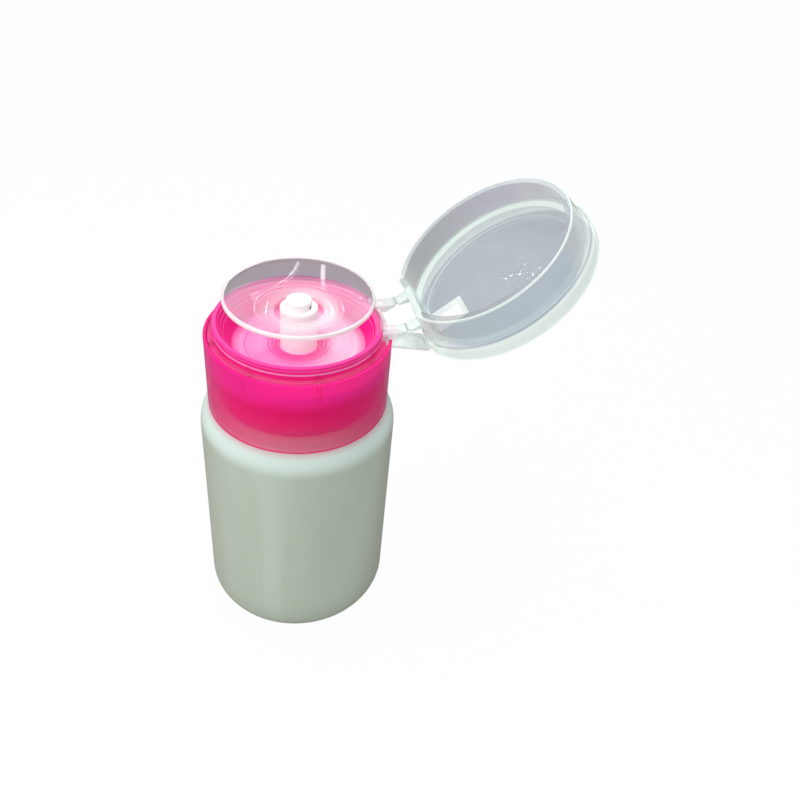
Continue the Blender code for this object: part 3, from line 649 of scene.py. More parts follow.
collarSettings = {
    "radius": 25.0, "innerRadius": 23.9, "topInner": 24.15, "lipOuter": 22.65, "neckWall": 22.05, "lipInner": 21.5,
    "skirtOuter": 21.7, "skirtInner": 20.2, "bowl": 17.6, "stemHole": 5.4, "rings": (6.35, 7.25, 8.15),
    "ringWidth": 0.42, "ringHeight": 0.26, "step": 14.6, "keys": 8, "keyPhase": math.radians(3.7), "keyThickness": 0.8,
    "notchHalf": 7.0, "notchFrom": 22.75, "notchDepth": 7.5, "threadTurns": 1.15, "threadPitch": 3.5,
    "threadStart": 3.5, "lipGapHalf": 9.1, "lipGapInner": 21.95, "innerBottom": 76.1, "linesFrom": 78.7,
    # Painted light among these: the hot pink also brightens the upper skirt, the far pink lightens the bowl floor, the
    # lip and line pinks paint highlights on the lip, and the glow pink is a painted glow
    "pink": (0.94, 0.006, 0.17), "hotPink": (1.0, 0.014, 0.30), "floorPink": (1.0, 0.26, 0.60), "farPink": (1.0, 0.58, 0.76),
    "deepPink": (0.84, 0.004, 0.15), "edgePink": (0.60, 0.03, 0.20), "lipPink": (1.0, 0.07, 0.40), "linePink": (1.0, 0.38, 0.68),
    "bouncePink": (1.0, 0.80, 0.90), "glowPink": (0.14, 0.006, 0.03), "skirtAlpha": 0.48, "topAlpha": 0.84, "innerAlpha": 0.58,
    "bowlAlpha": 0.86, "rimAlpha": 0.9, "floorAlpha": 0.9, "shadowShare": 0.4, "roughness": 0.24, "floorRoughness": 0.12,
}


def makeCollarSurface(own):
    surface = Surface("pinkPlastic", own.roughness, 90.0, 1200.0, (1.0, 1.0, 0.5))
    tree, x, z, radius = surface.tree, surface.x, surface.z, surface.axisDistance()
    onFloor = radius.ramp(own.bowl + 0.5, own.bowl - 0.2) * z.ramp(90.5, 90.75) * z.ramp(92.6, 91.7)
    onBowl = radius.ramp(22.9, 22.5) * z.ramp(91.0, 92.0)
    boss = radius.ramp(11.4, 6.5)
    skirt = radius.ramp(22.9, 23.5)
    # Painted light: the skirt from here up is painted a brighter pink, where light comes down through the bowl
    high = z.ramp(86.0, 90.3)
    # Painted light: the bowl floor turns paler towards +x
    floorTintWithLight = x.ramp(-4.0, 13.0).tint(own.floorPink, own.farPink)
    # Painted highlights: a pale line along the lip's bead and a lighter pink over the lip's top
    lipLine = abs(z - heights.lipLine).ramp(0.32, 0.14) * radius.ramp(22.4, 22.55)
    onLip = lipLine.mix(z.ramp(heights.lipTop - 0.35, heights.lipTop - 0.1), 1.0)
    ringLine = abs(maths(tree, "PINGPONG", z, 1.2) - 0.6).ramp(0.26, 0.1) * onBowl * z.ramp(94.2, 94.6)
    cells = (maths(tree, "ARCTAN2", surface.y, x) - own.keyPhase) * (own.keys / (2 * math.pi))
    aside = abs(cells - maths(tree, "ROUND", cells)) * (2 * math.pi / own.keys * own.radius)
    keyEdge = abs(aside - 0.42).ramp(0.26, 0.08) * skirt * z.ramp(89.2, 90.4)
    colour = tinted(
        high.tint(own.pink, own.hotPink), (surface.flow * 0.14, own.deepPink),
        (onFloor, (boss * 0.55).tint(floorTintWithLight, own.hotPink)), (onFloor * radius.ramp(15.4, 17.2) * 0.55, own.hotPink),
        (ringLine * 0.3, own.linePink), (onLip, lipLine.tint(own.lipPink, own.linePink)), (keyEdge * 0.8, own.deepPink),
        (surface.facing(0.5) ** 1.3 * (skirt * 0.85), own.edgePink),
        (rayKind(tree, "Is Diffuse Ray") * 0.6, own.bouncePink))
    skirtAlpha = high.mix(z.ramp(75.5, 83.5).mix(0.2, own.skirtAlpha), own.topAlpha)
    alpha = mixed(
        z.ramp(75.5, 82.0).mix(0.12, own.innerAlpha), (skirt, skirtAlpha), (onFloor, own.floorAlpha), (onBowl, own.bowlAlpha),
        (z.ramp(73.6, 73.3) * radius.ramp(24.5, 24.7), own.rimAlpha), (surface.facing(0.5) ** 1.4, 1.0))
    rough = onFloor.mix(own.roughness, own.floorRoughness)
    alpha = surface.alphaWithShadow(alpha, own.shadowShare)
    surface.set(baseColor=colour, alpha=alpha, ior=plasticIor, specular=0.1, roughness=rough)
    # Painted glow: the upper skirt emits pink, more towards +x
    surface.glow(skirt * z.ramp(90.3, 92.0) * x.ramp(-21.0, 0.0), own.glowPink)
    surface.relief(surface.flow, 0.012, 0.003)
    return surface.material


def makeKeySurface(own):
    surface = Surface("deepPinkPlastic", own.roughness, 90.0, 1200.0)
    colour = surface.flow.tint(own.deepPink, own.hotPink)
    surface.set(baseColor=colour, alpha=surface.facing(0.4).mix(0.6, 0.9), ior=plasticIor)
    surface.relief(surface.flow, 0.012, 0.003)
    return surface.material


def makeCollar(own):
    material = makeCollarSurface(own)
    top, bottom, lip, foot = heights.skirtTop, heights.collarBottom, heights.lipTop, heights.lipFoot
    floor, floorUnder, web, under = heights.floorTop, heights.floorUnder, heights.webTop, heights.webUnder
    hole, skirt, inner, lipSide = own.stemHole, own.skirtOuter, own.skirtInner, own.lipOuter
    corners = [(hole, floor, 0.15)]
    for ring in own.rings:
        half = own.ringWidth / 2
        corners += [
            (ring - half, floor), (ring - half / 2, floor + own.ringHeight, 0.1),
            (ring + half / 2, floor + own.ringHeight, 0.1), (ring + half, floor)]
    corners += [
        (own.step - 0.3, floor, 0.2), (own.step, floor + 0.3, 0.2), (own.bowl, floor + 0.3, 0.5),
        (own.lipInner - 0.2, lip - 0.5, 0.4), (own.lipInner, lip, 0.35), (lipSide, lip, 0.35),
        (lipSide, foot, 0.2), (own.neckWall, foot - 0.25, 0.15), (own.neckWall, web, 0.3),
        (own.topInner, web, 0.3), (own.topInner, top, 0.35), (own.radius + 0.04, top, 0.35),
        (own.radius, bottom, 0.25), (own.innerRadius, bottom + 0.57, 0.2), (own.innerRadius, under, 0.4),
        (skirt, under, 0.4), (skirt, own.innerBottom, 0.3), (inner, own.innerBottom, 0.3), (inner, floorUnder, 0.4),
        (hole + 1.6, floorUnder), (hole + 1.6, floorUnder + 0.9), (hole, floorUnder + 0.9)]
    collar = turned("collarShell", corners, material)
    notch = block(
        "notchCutter", (own.notchFrom, -own.notchHalf, top - own.notchDepth),
        (own.radius + overrun, own.notchHalf, top + overrun))
    outer = own.topInner - 0.5
    gapCorners = [
        (own.lipGapInner, top + 0.3), (outer, top + 0.3), (outer, lip + overrun), (own.bowl, lip + overrun),
        (own.bowl, heights.lipLine), (own.lipGapInner, heights.lipLine)]
    lipGap = turned("lipGap", gapCorners, material)
    change(lipGap, "INTERSECT", block("lipGapSpan", (0, -own.lipGapHalf, top), (own.radius, own.lipGapHalf, lip + 2)))
    change(collar, "DIFFERENCE", notch, lipGap)
    fasten(collar, "collar_body", "collar", "collar")

    deep = makeKeySurface(own)
    half = own.keyThickness / 2
    for name, low, high, bevel, turn, leftOut in (
        ("collarKeys", (skirt - 0.1, -half, under - 1.8), (own.topInner + 0.1, half, top - 0.7), 0.12, 0.0, 0),
        ("collarLines", (skirt - 0.2, -0.4, own.linesFrom), (skirt + 0.4, 0.4, under - 1.2), 0.1, math.pi / own.keys, -1),
        ("lipRibs", (lipSide - 0.15, -0.35, foot + 0.15), (lipSide + 0.18, 0.35, heights.lipLine - 0.1), 0.1, 0.0, 0),
    ):
        rib = block(name, low, high, deep, bevel)
        runTree(rib, ringTree, **{"Count": own.keys, "Phase": own.keyPhase + turn, "Left Out": leftOut, "Material": deep})
        fasten(settle(rib, deep), "collar_body", "collar")
    middle = heights.neckRoot + own.threadStart + own.threadPitch / 2
    ridge = [
        (inner + 0.3, middle - 0.8), (inner + 0.3, middle + 0.8),
        (inner - 1.05, middle + 0.4, 0.2), (inner - 1.05, middle - 0.4, 0.2)]
    fasten(coiled("collarThread", ridge, inner, own.threadPitch, own.threadTurns, material), "collar_body", "collar")


makeCollar(SimpleNamespace(**collarSettings))
print("collar made")


# Clear plastic of the ring, straps and band

clearSettings = {
    # The blush and ring blush are painted pink light, standing for light through the pink collar
    "colour": (0.70, 0.79, 0.75), "edge": (0.90, 0.97, 0.93), "blush": (0.96, 0.62, 0.78), "ringBlush": (1.0, 0.22, 0.55),
    # The mark colour darkens the plastic along the hinge axis
    "mark": (0.44, 0.50, 0.50), "alpha": 0.5, "ringAlpha": 0.05, "roughness": 0.14,
}


def makeClearSurface(own):
    surface = Surface("clearPlastic", own.roughness, 160.0, 1500.0, (1.0, 1.0, 1.0))
    z, radius = surface.z, surface.axisDistance()
    rim = surface.facing(0.45) ** 1.6
    inGroove = z.ramp(95.6, 95.1) * z.ramp(93.0, 93.3)
    # Darker along the hinge axis
    fromHinge = maths(surface.tree, "SQRT", (surface.x - hingeX) ** 2.0 + (z - heights.hinge) ** 2.0)
    # Painted pink light near the collar and on the ring in its groove
    colour = tinted(
        surface.flow.ramp(0.4, 0.62).tint(own.colour, own.edge), (rim, own.edge),
        (radius.ramp(28.0, 23.5) * z.ramp(93.0, 93.3) * 0.5, own.blush), (fromHinge.ramp(0.5, 0.2), own.mark),
        (inGroove, own.ringBlush))
    alpha = mixed(own.alpha, (rim, 0.85), (inGroove, radius.ramp(23.5, 23.7).mix(own.ringAlpha, 0.3)))
    surface.set(baseColor=colour, alpha=surface.alphaWithShadow(alpha, 0.5), ior=plasticIor, specular=inGroove.mix(0.5, 0.1))
    surface.relief(surface.flow, 0.03, 0.003)
    return surface.material


clearMaterial = makeClearSurface(SimpleNamespace(**clearSettings))

ringSettings = {
    "inner": 22.4, "outer": 23.8, "bottom": 93.31, "top": 95.21, "slotHalf": 0.7, "slotTop": 94.6,
    "riserInner": 22.5, "riserOuter": 23.3, "riserHalf": 8.6,
    "strapLow": 4.7, "strapHigh": 8.7, "strapThickness": 0.8, "strapEndThickness": 0.5, "gusset": 1.85, "gussetTaper": 2.6,
    "lidStrapRoot": 1.6, "strapRoot": 21.7, "strapEnd": 0.35, "face": 0.25, "slope": 0.25,
    "tabOuter": 24.0, "tabThickness": 0.95, "tabHalf": 3.8, "tabBottom": 89.81, "footDrop": 0.9,
}
strapSpans = [(-ringSettings["strapHigh"], -ringSettings["strapLow"]), (ringSettings["strapLow"], ringSettings["strapHigh"])]


# Corners of a strap's half: below the hinge axis with its gusset, or above it on the lid
def strapCorners(own, side, rootX):
    face = heights.hinge + side * own.face
    root = face + side * own.slope
    end = hingeX - own.strapEnd
    corners = [(rootX, root, 0.15), (end, face, 0.12), (end, face + side * own.strapEndThickness, 0.12)]
    if side > 0:
        return corners + [(rootX, root + own.lidStrapRoot, 0.15)]
    low = root - own.gusset
    corners += [(end - own.gussetTaper, low, 0.5), (own.inner, low, 0.2)]
    return corners + [(own.inner, root - own.strapThickness, 0.1), (rootX, root - own.strapThickness, 0.15)]


def makeRing(own):
    bottom, top = own.bottom, own.top
    corners = [(own.inner, bottom, 0.15), (own.outer, bottom, 0.15), (own.outer, top, 0.3), (own.inner, top, 0.3)]
    ring = turned("hingeRing", corners, clearMaterial)
    slot = block(
        "slotCutter", (own.inner - overrun, -own.slotHalf, bottom - overrun), (own.outer + overrun, own.slotHalf, own.slotTop))
    runTree(slot, ringTree, **{"Count": collarSettings["keys"], "Phase": collarSettings["keyPhase"], "Left Out": 0})
    settle(slot)
    change(ring, "DIFFERENCE", slot)
    riserTop = heights.hinge - own.face - own.slope - own.strapThickness / 2
    low = top - own.footDrop
    riserCorners = [
        (own.riserInner, low), (own.riserOuter, low), (own.riserOuter, riserTop, 0.25), (own.riserInner, riserTop, 0.25)]
    riser = turned("riser", riserCorners, clearMaterial)
    half = own.riserHalf
    change(riser, "INTERSECT", block("riserSpan", (0, -half, bottom), (hingeX, half, heights.hinge)))
    corners = strapCorners(own, -1, own.strapRoot)
    straps = [drawnOut("ringStrap", corners, near, far, clearMaterial, 0.12) for near, far in strapSpans]
    tabInner = own.tabOuter - own.tabThickness
    tabCorners = [(tabInner, own.tabBottom, 0.3), (own.tabOuter, own.tabBottom, 0.3), (own.tabOuter, low), (tabInner, low)]
    tab = drawnOut("ringTab", tabCorners, -own.tabHalf, own.tabHalf, clearMaterial, 0.1)
    change(ring, "UNION", riser, *straps, tab)
    fasten(ring, "collar_body", "clear", "hinge_ring")


makeRing(SimpleNamespace(**ringSettings))
print("hinge ring made")


# Lid: built shut about the bottle's axis, then turned open

lidSettings = {
    "rimOuter": 25.4, "rimInner": 23.85, "wallRise": 8.4, "wallOuter": 26.2, "shoulderRise": 9.2, "shoulderOuter": 27.6,
    "height": 13.6, "topOuter": 27.35, "ledge": 8.7, "ledgeOuter": 25.4, "ledgeInner": 23.6, "floor": 12.4, "floorRadius": 23.4,
    "panelOuter": 24.0, "panelInner": 22.3, "flangeFlat": 25.4, "recessHalf": 4.5, "notchHalf": 9.2, "notchTop": 98.41,
    "windowFar": 22.0, "windowNear": 12.4, "windowHalf": 4.4, "windowTaper": 1.4, "windowLean": 1.0,
    # The inside wall colours are painted shade, darkest towards the hinge; the outside wall colour is the same plastic
    # painted lit
    "wallInside": (0.40, 0.36, 0.47), "wallShade": (0.20, 0.19, 0.20), "wallOutside": (0.64, 0.77, 0.85),
    "floorColour": (0.26, 0.30, 0.36), "cloudColour": (0.62, 0.68, 0.78), "stepColour": (0.46, 0.53, 0.60),
    # The pale colour is painted light along the lid's edges, the band colour paints the flange near white, the window
    # colour paints light on the window's cut faces, and the glow colour is a painted glow
    "rimFace": (0.56, 0.62, 0.65), "endColour": (0.86, 0.93, 0.88), "pale": (0.84, 0.95, 0.90), "bandColour": (0.90, 1.0, 0.92),
    "glowColour": (0.14, 0.21, 0.16), "panelColour": (0.80, 0.90, 0.86), "windowColour": (0.91, 0.94, 0.93),
    "alpha": 0.48, "paleAlpha": 0.78, "outsideAlpha": 0.36, "rimAlpha": 0.2, "panelAlpha": 0.82, "windowAlpha": 0.95,
    "hazeAlpha": 0.85, "roughness": 0.12, "floorRoughness": 0.07,
}


def makeLidSurface(own):
    surface = Surface("lidPlastic", own.roughness, 75.0, 1500.0, (1.0, 1.0, 1.0), (tuple(hingePoint), (0.0, lidAngle, 0.0)))
    radius = surface.axisDistance(hingeX)
    depth = surface.z + (heights.hinge - heights.lidRim)
    across, aside = surface.x + hingeX, abs(surface.y)

    def lineAt(distance, wide, soft):
        return abs(distance).ramp(wide + soft, wide)

    outside = (radius - (depth * 0.135 + (own.rimOuter + own.rimInner) / 2)).ramp(-0.15, 0.15)
    onWall = depth.ramp(own.ledge + 0.1, own.ledge - 0.2)
    onFloor = depth.ramp(own.floor - 0.5, own.floor - 0.1) * radius.ramp(own.floorRadius + 0.1, own.floorRadius - 0.1)
    rimFace = depth.ramp(0.4, 0.15) * radius.ramp(own.rimInner - 0.3, own.rimInner)
    rim = depth.ramp(0.75, 0.35) * radius.ramp(own.rimOuter - 0.55, own.rimOuter - 0.3)
    ledge = lineAt(depth - own.ledge, 0.2, 0.2) * radius.ramp(25.9, 25.6)
    flange = depth.ramp(own.wallRise + 0.3, own.wallRise + 0.8) * radius.ramp(26.4, 27.0)
    floorEdge = lineAt(radius - (own.floorRadius - 0.1), 0.12, 0.18) * depth.ramp(own.floor - 0.6, own.floor - 0.35)
    floorEdge = floorEdge * depth.ramp(own.floor + 0.3, own.floor + 0.1)
    windowWall = aside.ramp(own.windowHalf + 0.12, own.windowHalf + 0.02) * depth.ramp(own.floor - 0.3, own.floor - 0.1)
    windowWall = windowWall * across.ramp(own.windowNear - 0.12, own.windowNear - 0.02)
    windowWall = windowWall * across.ramp(own.windowFar + 0.12, own.windowFar + 0.02)
    panel = across.ramp(own.panelInner - 0.35, own.panelInner - 0.1) * aside.ramp(13.0, 11.0)
    edges = rim.orMore(ledge).orMore((floorEdge * 0.55).orMore(windowWall))
    atEnds = across.ramp(-14.5, -18.5).orMore(across.ramp(18.5, 21.0))
    onStep = radius.ramp(own.floorRadius - 0.3, own.floorRadius) * radius.ramp(own.ledgeInner + 0.3, own.ledgeInner + 0.1)
    # Painted shade: the inner faces darker than the outer ones, darkest towards the hinge
    inside = across.ramp(-14.0, 18.0).tint(own.wallInside, own.wallShade)
    wall = outside.tint(inside, (atEnds * 0.8).tint(own.wallOutside, own.endColour))
    swirl = noise(surface.tree, surface.vector, 110.0, 3.0, 0.5, 2.4)
    hazy = surface.facing(0.35) ** 2.4 * 0.7
    # Painted light: pale lines along the rim, ledge, floor corner and window walls, and a near-white flange
    colour = tinted(
        onStep.tint(own.floorColour, own.stepColour), (onWall, wall), (swirl.ramp(0.42, 0.7) * 0.14 * onFloor, own.cloudColour),
        (flange, own.bandColour), (rimFace, own.rimFace), (panel, own.panelColour), (edges, own.pale),
        (windowWall, own.windowColour), (hazy, own.pale))
    alpha = mixed(
        rimFace.mix(own.alpha, own.rimAlpha), (flange, own.outsideAlpha), (atEnds * outside * onWall, own.outsideAlpha),
        (panel, own.panelAlpha), (edges, own.paleAlpha), (windowWall, own.windowAlpha), (hazy, own.hazeAlpha))
    alpha = surface.alphaWithShadow(alpha, 0.5)
    surface.set(baseColor=colour, alpha=alpha, ior=plasticIor, roughness=onFloor.mix(own.roughness, own.floorRoughness))
    # Painted glow on the flange
    surface.glow(flange, own.glowColour)
    surface.relief(swirl, 0.2, 0.003, onFloor * 0.25 + 0.12)
    return surface.material


# The window's cutter narrows outwards at its near end and on one side, as the mould's core does
def makeWindowCutter(floor, top, own):
    near, far, half = own.windowNear, own.windowFar, own.windowHalf
    slopeX, slopeY = own.windowTaper / (top - floor), own.windowLean / (top - floor)
    loops = []
    for rise in (-overrun, top - floor + overrun):
        shut, side, z = near + slopeX * rise, half - slopeY * rise, floor + rise
        loops.append([(shut, -half, z), (far, -half, z), (far, side, z), (shut, side, z)])
    return settle(bridged("lidWindow", *loops))


def makeLid(own):
    material = makeLidSurface(own)
    base = heights.lidRim
    top = base + own.height
    wall = [
        (0.0, base), (own.rimOuter, base, 0.35), (own.wallOuter, base + own.wallRise, 0.4),
        (own.shoulderOuter, base + own.shoulderRise, 0.6), (own.topOuter, top, 0.5), (0.0, top)]
    lid = turned("lidShell", wall, material, closed=False, softSteps=5)
    hollow = [
        (0.0, base - overrun), (own.rimInner - 0.45, base - overrun), (own.rimInner - 0.4, base - 0.02),
        (own.rimInner, base + 0.4, 0.3), (own.ledgeOuter, base + own.ledge, 0.15), (own.ledgeInner, base + own.ledge, 0.25),
        (own.floorRadius, base + own.floor, 0.5), (0.0, base + own.floor)]
    cavity = turned("lidHollow", hollow, material, closed=False, softSteps=5)
    far, side = hingeX + 2 * overrun, own.shoulderOuter + overrun
    change(cavity, "DIFFERENCE", block("panelBack", (own.panelInner, -side, base - 3), (far, side, top)))
    change(lid, "DIFFERENCE", cavity)
    floor = base + own.floor
    shoulder = base + own.shoulderRise
    flat = block("lidFlat", (own.panelOuter, -side, base - 3), (far, side, shoulder))
    flange = block("flangeFlat", (own.flangeFlat, -side, shoulder - 0.3), (far + overrun, side, top + overrun))
    recess = block("bandRecess", (own.panelOuter, -own.recessHalf, shoulder - 1), (far, own.recessHalf, top + overrun))
    notch = block("rimNotch", (own.panelInner - overrun, -own.notchHalf, base - 3), (far, own.notchHalf, own.notchTop))
    change(lid, "DIFFERENCE", flat, flange, recess, notch, makeWindowCutter(floor, top, own))
    corners = strapCorners(SimpleNamespace(**ringSettings), 1, own.panelOuter - 0.3)
    change(lid, "UNION", *[drawnOut("lidStrap", corners, low, high, material, 0.12) for low, high in strapSpans])
    move(lid, openLid)
    fasten(lid, "lid_body", "clear", "lid")


makeLid(SimpleNamespace(**lidSettings))
print("lid made")


# Straps' thin folds, drawn bent between the collar and the lid

foldSettings = {"thickness": 0.28, "inset": 0.12, "reach": 0.9, "steps": 14, "blendHalf": 0.45}


def makeFold(name, low, high, own):
    # The fold runs from the ring strap's end round the hinge axis to the lid strap's end
    half = lidAngle / 2
    away = ringSettings["face"] + own.inset
    start = Vector((hingeX - own.reach, heights.hinge - away))
    closedEnd = Vector((hingeX - own.reach, heights.hinge + away))
    offset = closedEnd - Vector((hingeX, heights.hinge))
    across, up = math.cos(lidAngle), math.sin(lidAngle)
    end = Vector((hingeX + offset.x * across + offset.y * up, heights.hinge + offset.y * across - offset.x * up))
    middle = Vector((hingeX, heights.hinge)) + Vector((math.sin(half), math.cos(half))) * -0.02
    points = [bentPoint(start, middle, end, step / own.steps) for step in range(own.steps + 1)]
    upper, lower = [], []
    for index, point in enumerate(points):
        before, after = points[max(0, index - 1)], points[min(len(points) - 1, index + 1)]
        along = (after - before).normalized()
        across = Vector((-along.y, along.x)) * own.thickness / 2
        upper.append(tuple(point + across))
        lower.append(tuple(point - across))
    fold = drawnOut(name, upper + lower[::-1], low + 0.25, high - 0.25, clearMaterial)
    half = Vector((mm(own.blendHalf), 0, 0))
    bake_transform(fold)


for foldName, span in zip(("strapFoldNear", "strapFoldFar"), strapSpans):
    makeFold(foldName, *span, SimpleNamespace(**foldSettings))


# Spring band: two strips that meet at a thin fold

bandSettings = {
    "half": 3.95, "thickness": 0.7, "thin": 0.14, "foldGap": 0.3, "x": 24.65, "footHeight": 90.314, "headHeight": 107.114,
    "slack": 0.1, "foldShare": 0.7,
}


def bandPoints(own):
    foot = Vector((own.x, own.footHeight))
    shutHead = Vector((mm(own.x), 0.0, mm(own.headHeight)))
    head = openLid @ shutHead * 1000.0
    head = Vector((head.x, head.z))
    length = own.headHeight - own.footHeight + 2 * own.slack
    lower = length * own.foldShare
    upper = length - lower
    chord = (head - foot).length
    along = (head - foot) / chord
    reach = (chord ** 2 + lower ** 2 - upper ** 2) / (2 * chord)
    bulge = math.sqrt(lower ** 2 - reach ** 2)
    fold = foot + along * reach + Vector((along.y, -along.x)) * bulge
    return foot, head, fold


def makeBand(name, pivot, fold, body, node, own):
    along = (fold - pivot).normalized()
    side = Vector((-along.y, along.x))
    half = own.thickness / 2
    stop = (fold - pivot).length - own.foldGap
    profile = [(half * 0.7, half), (stop - 1.0, half), (stop - 0.55, own.thin), (stop, own.thin)]
    corners = [tuple(pivot - along * half * 0.9) + (half,)]
    corners += [tuple(pivot + along * far + side * thick) + (0.2,) for far, thick in profile]
    corners += [tuple(pivot + along * far - side * thick) + (0.2,) for far, thick in reversed(profile)]
    piece = drawnOut(name, corners, -own.half, own.half, clearMaterial, 0.1)
    fasten(piece, body, "clear", node)


band = SimpleNamespace(**bandSettings)
bandFoot, bandHead, bandFold = bandPoints(band)
makeBand("bandLowerStrip", bandFoot, bandFold, "band_lower_body", "band_lower", band)
makeBand("bandUpperStrip", bandHead, bandFold, "band_upper_body", "band_upper", band)
print("straps and band made")


# Dish: clear, pressed down to pump

dishSettings = {
    "radius": 19.85, "rimHeight": 106.0, "foot": 101.6, "flat": 8.0, "hubOuter": 6.3, "hubInner": 5.3, "hubTop": 101.9,
    "hubBottom": 99.4, "thickness": 1.1, "power": 1.5, "roll": 0.65, "ridge": 11.4, "ridgeHalf": 0.3, "ridgeHeight": 0.1,
    # The colour is painted shade on the dish's back, the inner veil a painted reflection over the middle, and the rim
    # colour painted light in the rolled rim
    "colour": (0.16, 0.09, 0.145), "veil": (0.92, 0.72, 0.88), "innerVeil": (1.0, 0.95, 0.98), "rim": (0.96, 0.92, 0.90),
    "alpha": 0.22, "backAlpha": 0.5, "hubAlpha": 0.07, "rimAlpha": 0.8, "roughness": 0.05,
    "crescent": (-0.8, -5.2, 19.2),      # x, y and radius of the circle past which the back shows dark
}


def makeDishSurface(own):
    surface = Surface("dishPlastic", own.roughness, 90.0, 1800.0, (1.0, 1.0, 1.0))
    x, radius = surface.x, surface.axisDistance()
    rim = radius.ramp(own.radius - 0.9, own.radius - 0.5) * surface.z.ramp(own.rimHeight - 1.1, own.rimHeight - 0.6)
    centreX, centreY, reach = own.crescent
    squares = (x - centreX) ** 2.0 + (surface.y - centreY) ** 2.0
    back = maths(surface.tree, "SQRT", squares).ramp(reach - 0.5, reach + 0.3)
    hub = radius.ramp(9.0, 7.5)
    inner = radius.ramp(11.6, 9.4)
    ridge = abs(radius - own.ridge).ramp(0.34, 0.12)
    # The inner zone's alpha rises towards +x for the painted reflection
    alpha = mixed(
        back.mix(own.alpha, own.backAlpha), (inner, x.ramp(-8.0, 6.0).mix(0.22, 0.4)), (radius.ramp(6.9, 6.4), own.hubAlpha),
        (ridge * 0.35, 0.5), (surface.facing(0.35) ** 2.0 * radius.ramp(13.0, 16.0), 0.5), (rim, own.rimAlpha))
    alpha = surface.alphaWithShadow(alpha, 0.3)
    # Painted shade on the back past the crescent circle, a painted reflection over the middle, and painted light on the
    # rim
    colour = tinted(inner.tint(own.veil, own.innerVeil), (back, own.colour), (rim, own.rim))
    surface.set(
        baseColor=colour, alpha=alpha, ior=plasticIor, specular=hub.mix(0.5, 0.08), coat=hub.mix(0.6, 0.0), coatRoughness=0.02)
    surface.relief(surface.flow, 0.02, 0.001)
    return surface.material


def makeDish(own):
    material = makeDishSurface(own)
    rimZ, foot, flat, radius = own.rimHeight, own.foot, own.flat, own.radius

    def height(r):
        share = max(0.0, (r - flat) / (radius - flat))
        ridge = max(0.0, 1 - abs(r - own.ridge) / own.ridgeHalf) * own.ridgeHeight
        return foot + (rimZ - foot) * share ** own.power + ridge

    rimStart = radius - own.roll * 2
    steps = 18
    radii = [flat + (rimStart - flat) * step / steps for step in range(steps + 1)]
    radii = sorted(radii + [own.ridge + out for out in (-own.ridgeHalf, 0.0, own.ridgeHalf)])
    corners = [
        (own.hubInner, own.hubBottom, 0.2), (own.hubInner, own.hubTop, 0.2), (own.hubOuter - 0.3, own.hubTop, 0.25),
        (own.hubOuter, foot, 0.3)]
    corners += [(r, height(r)) for r in radii]
    corners += [
        (rimStart + 0.25, rimZ, 0.25), (radius - 0.1, rimZ, 0.45), (radius, rimZ - 0.75, 0.4), (radius - 0.3, rimZ - 1.3, 0.3)]
    corners += [(r, height(r) - own.thickness) for r in reversed(radii)]
    corners += [(own.hubOuter, foot - own.thickness, 0.3), (own.hubOuter, own.hubBottom, 0.2)]
    fasten(turned("dishBowl", corners, material), "plunger_body", "dish", "dish")


makeDish(SimpleNamespace(**dishSettings))
print("dish made")


# Stem and nozzle: white plastic

stemSettings = {
    "outer": 5.0, "bore": 4.1, "bottom": 80.51, "mouth": 3.75, "mouthDepth": 2.5,
    # The blush is painted pink light on the lower sleeve, the bore shade painted shade in the bore, and the two glow
    # colours painted glows
    "colour": (0.98, 0.96, 0.96), "shade": (0.96, 0.94, 0.94), "blush": (1.0, 0.93, 0.94), "boreShade": (0.28, 0.17, 0.19),
    "glowPink": (0.55, 0.04, 0.2), "glowMouth": (0.42, 0.34, 0.33), "roughness": 0.28,
}
nozzleSettings = {
    "radius": 3.45, "bore": 1.9, "tail": 4.0, "roof": 1.1, "dimple": 2.3, "dimpleFloor": 2.0, "dimpleDepth": 0.22,
    "outlet": 0.55, "outletDrop": 1.6, "outletTurn": -37.6, "lip": 0.55,
}


def makeWhiteSurface(own):
    surface = Surface("whitePlastic", own.roughness, 120.0, 1500.0, (1.0, 1.0, 0.5))
    z, radius = surface.z, surface.axisDistance()
    # Painted pink light on the sleeve's lower part
    colour = tinted(
        surface.flow.ramp(0.35, 0.65).tint(own.shade, own.colour), (z.ramp(101.0, 96.0), own.blush),
        (radius.ramp(3.42, 3.3) * z.ramp(103.9, 103.7), own.boreShade))
    # Painted glow: pink on the sleeve below the collar's floor, pale in the nozzle's mouth
    below = z.ramp(91.4, 90.9) * radius.ramp(4.6, 4.8)
    inMouth = z.ramp(102.35, 102.1) * radius.ramp(4.3, 4.15)
    surface.glow(below.orMore(inMouth), below.tint(own.glowMouth, own.glowPink))
    surface.set(baseColor=colour, subsurface=0.25, spreadColour=(1.0, 0.7, 0.75), spread=mm(1.6), ior=plasticIor)
    surface.relief(surface.flow, 0.02, 0.003)
    return surface.material


def makeStem(own):
    material = makeWhiteSurface(own)
    top = heights.stemTop
    corners = [
        (own.bore, own.bottom, 0.1), (own.outer, own.bottom, 0.2), (own.outer, top, 0.3), (own.mouth, top, 0.25),
        (own.mouth, top - own.mouthDepth, 0.1), (own.bore, top - own.mouthDepth - 0.3, 0.1)]
    fasten(turned("stemTube", corners, material), "plunger_body", "stem", "stem_sleeve")
    return material


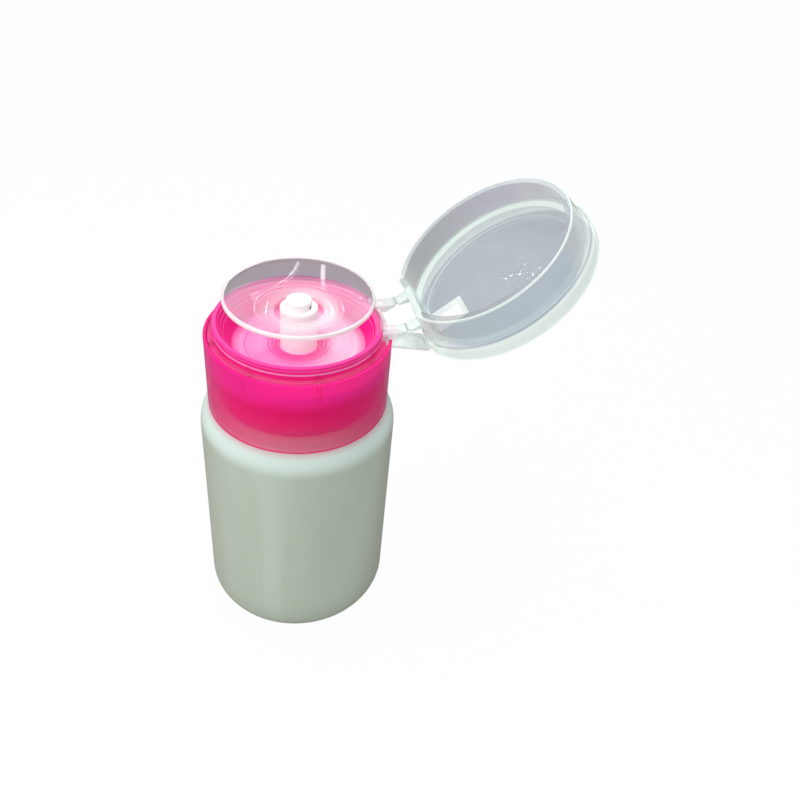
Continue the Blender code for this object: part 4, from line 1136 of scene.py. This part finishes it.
def makeNozzle(own, material):
    radius, crown = own.radius, heights.nozzleTop
    roof, tail, dimple = crown - own.roof, heights.stemTop - own.tail, crown - own.dimpleDepth
    corners = [
        (0.0, roof), (own.bore, roof, 0.3), (own.bore, tail, 0.1), (radius, tail, 0.1), (radius, crown, own.lip),
        (own.dimple, crown, 0.25), (own.dimpleFloor, dimple, 0.2), (0.0, dimple)]
    nozzle = turned("nozzleHead", corners, material, closed=False)
    reach, far = own.outlet, radius + overrun
    hole = turned("outletHole", [(0.0, 0.0), (reach, 0.0), (reach, far), (0.0, far)], material, closed=False, steps=32)
    aim = Matrix.Rotation(math.radians(own.outletTurn), 4, "Z") @ Matrix.Rotation(math.pi / 2, 4, "Y")
    move(hole, Matrix.Translation((0, 0, mm(crown - own.outletDrop))) @ aim)
    change(nozzle, "DIFFERENCE", hole)
    fasten(nozzle, "plunger_body", "stem", "nozzle")


makeNozzle(SimpleNamespace(**nozzleSettings), makeStem(SimpleNamespace(**stemSettings)))
print("stem and nozzle made")


# Inner works: the CAD solids keep their shape and get finished materials, and the spring is wound finer

innerSettings = {"springRadius": 5.0, "springWire": 0.35, "springTurns": 6.0, "springBottom": 60.31, "springLength": 14.3}


def makeInnerWorks(own):
    natural = Surface("naturalPlastic", 0.38, 120.0, 1400.0)
    natural.set(baseColor=natural.flow.tint((0.74, 0.76, 0.72), (0.88, 0.89, 0.86)), subsurface=0.15, spread=mm(1.5))
    natural.relief(natural.flow, 0.02, 0.004)
    soft = Surface("softSeal", 0.62, 140.0, 1100.0)
    soft.set(baseColor=soft.grain.tint((0.72, 0.72, 0.7), (0.86, 0.86, 0.84)))
    soft.relief(soft.flow, 0.02, 0.012)
    steel = Surface("springSteel", 0.22, 300.0, 2200.0, (1.0, 1.0, 4.0))
    steel.set(baseColor=steel.flow.tint((0.55, 0.55, 0.56), (0.72, 0.72, 0.73)), metallic=1.0)
    steel.relief(steel.flow, 0.004, 0.002)
    finishes = {
        "pump_housing": natural, "stem_bush": natural, "ball_retainer": natural, "dip_tube": natural, "piston_rod": natural,
        "piston_seal": soft, "stem_wiper": soft, "neck_gasket": soft, "outlet_ball": steel, "inlet_ball": steel,
    }
    for node, surface in finishes.items():
        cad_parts[node].material_slots[0].material = surface.material
    wire = own.springWire
    middle = own.springBottom + wire
    ring = [(own.springRadius + x, z) for x, z in arcCorners((0.0, middle), wire, 0, 315, 7)]
    pitch = (own.springLength - 2 * wire) / own.springTurns
    spring = coiled("returnSpring", ring, own.springRadius, pitch, own.springTurns, steel.material, 40)
    fasten(spring, "pump_body", "steel", "return_spring")


makeInnerWorks(SimpleNamespace(**innerSettings))
print("inner works finished")
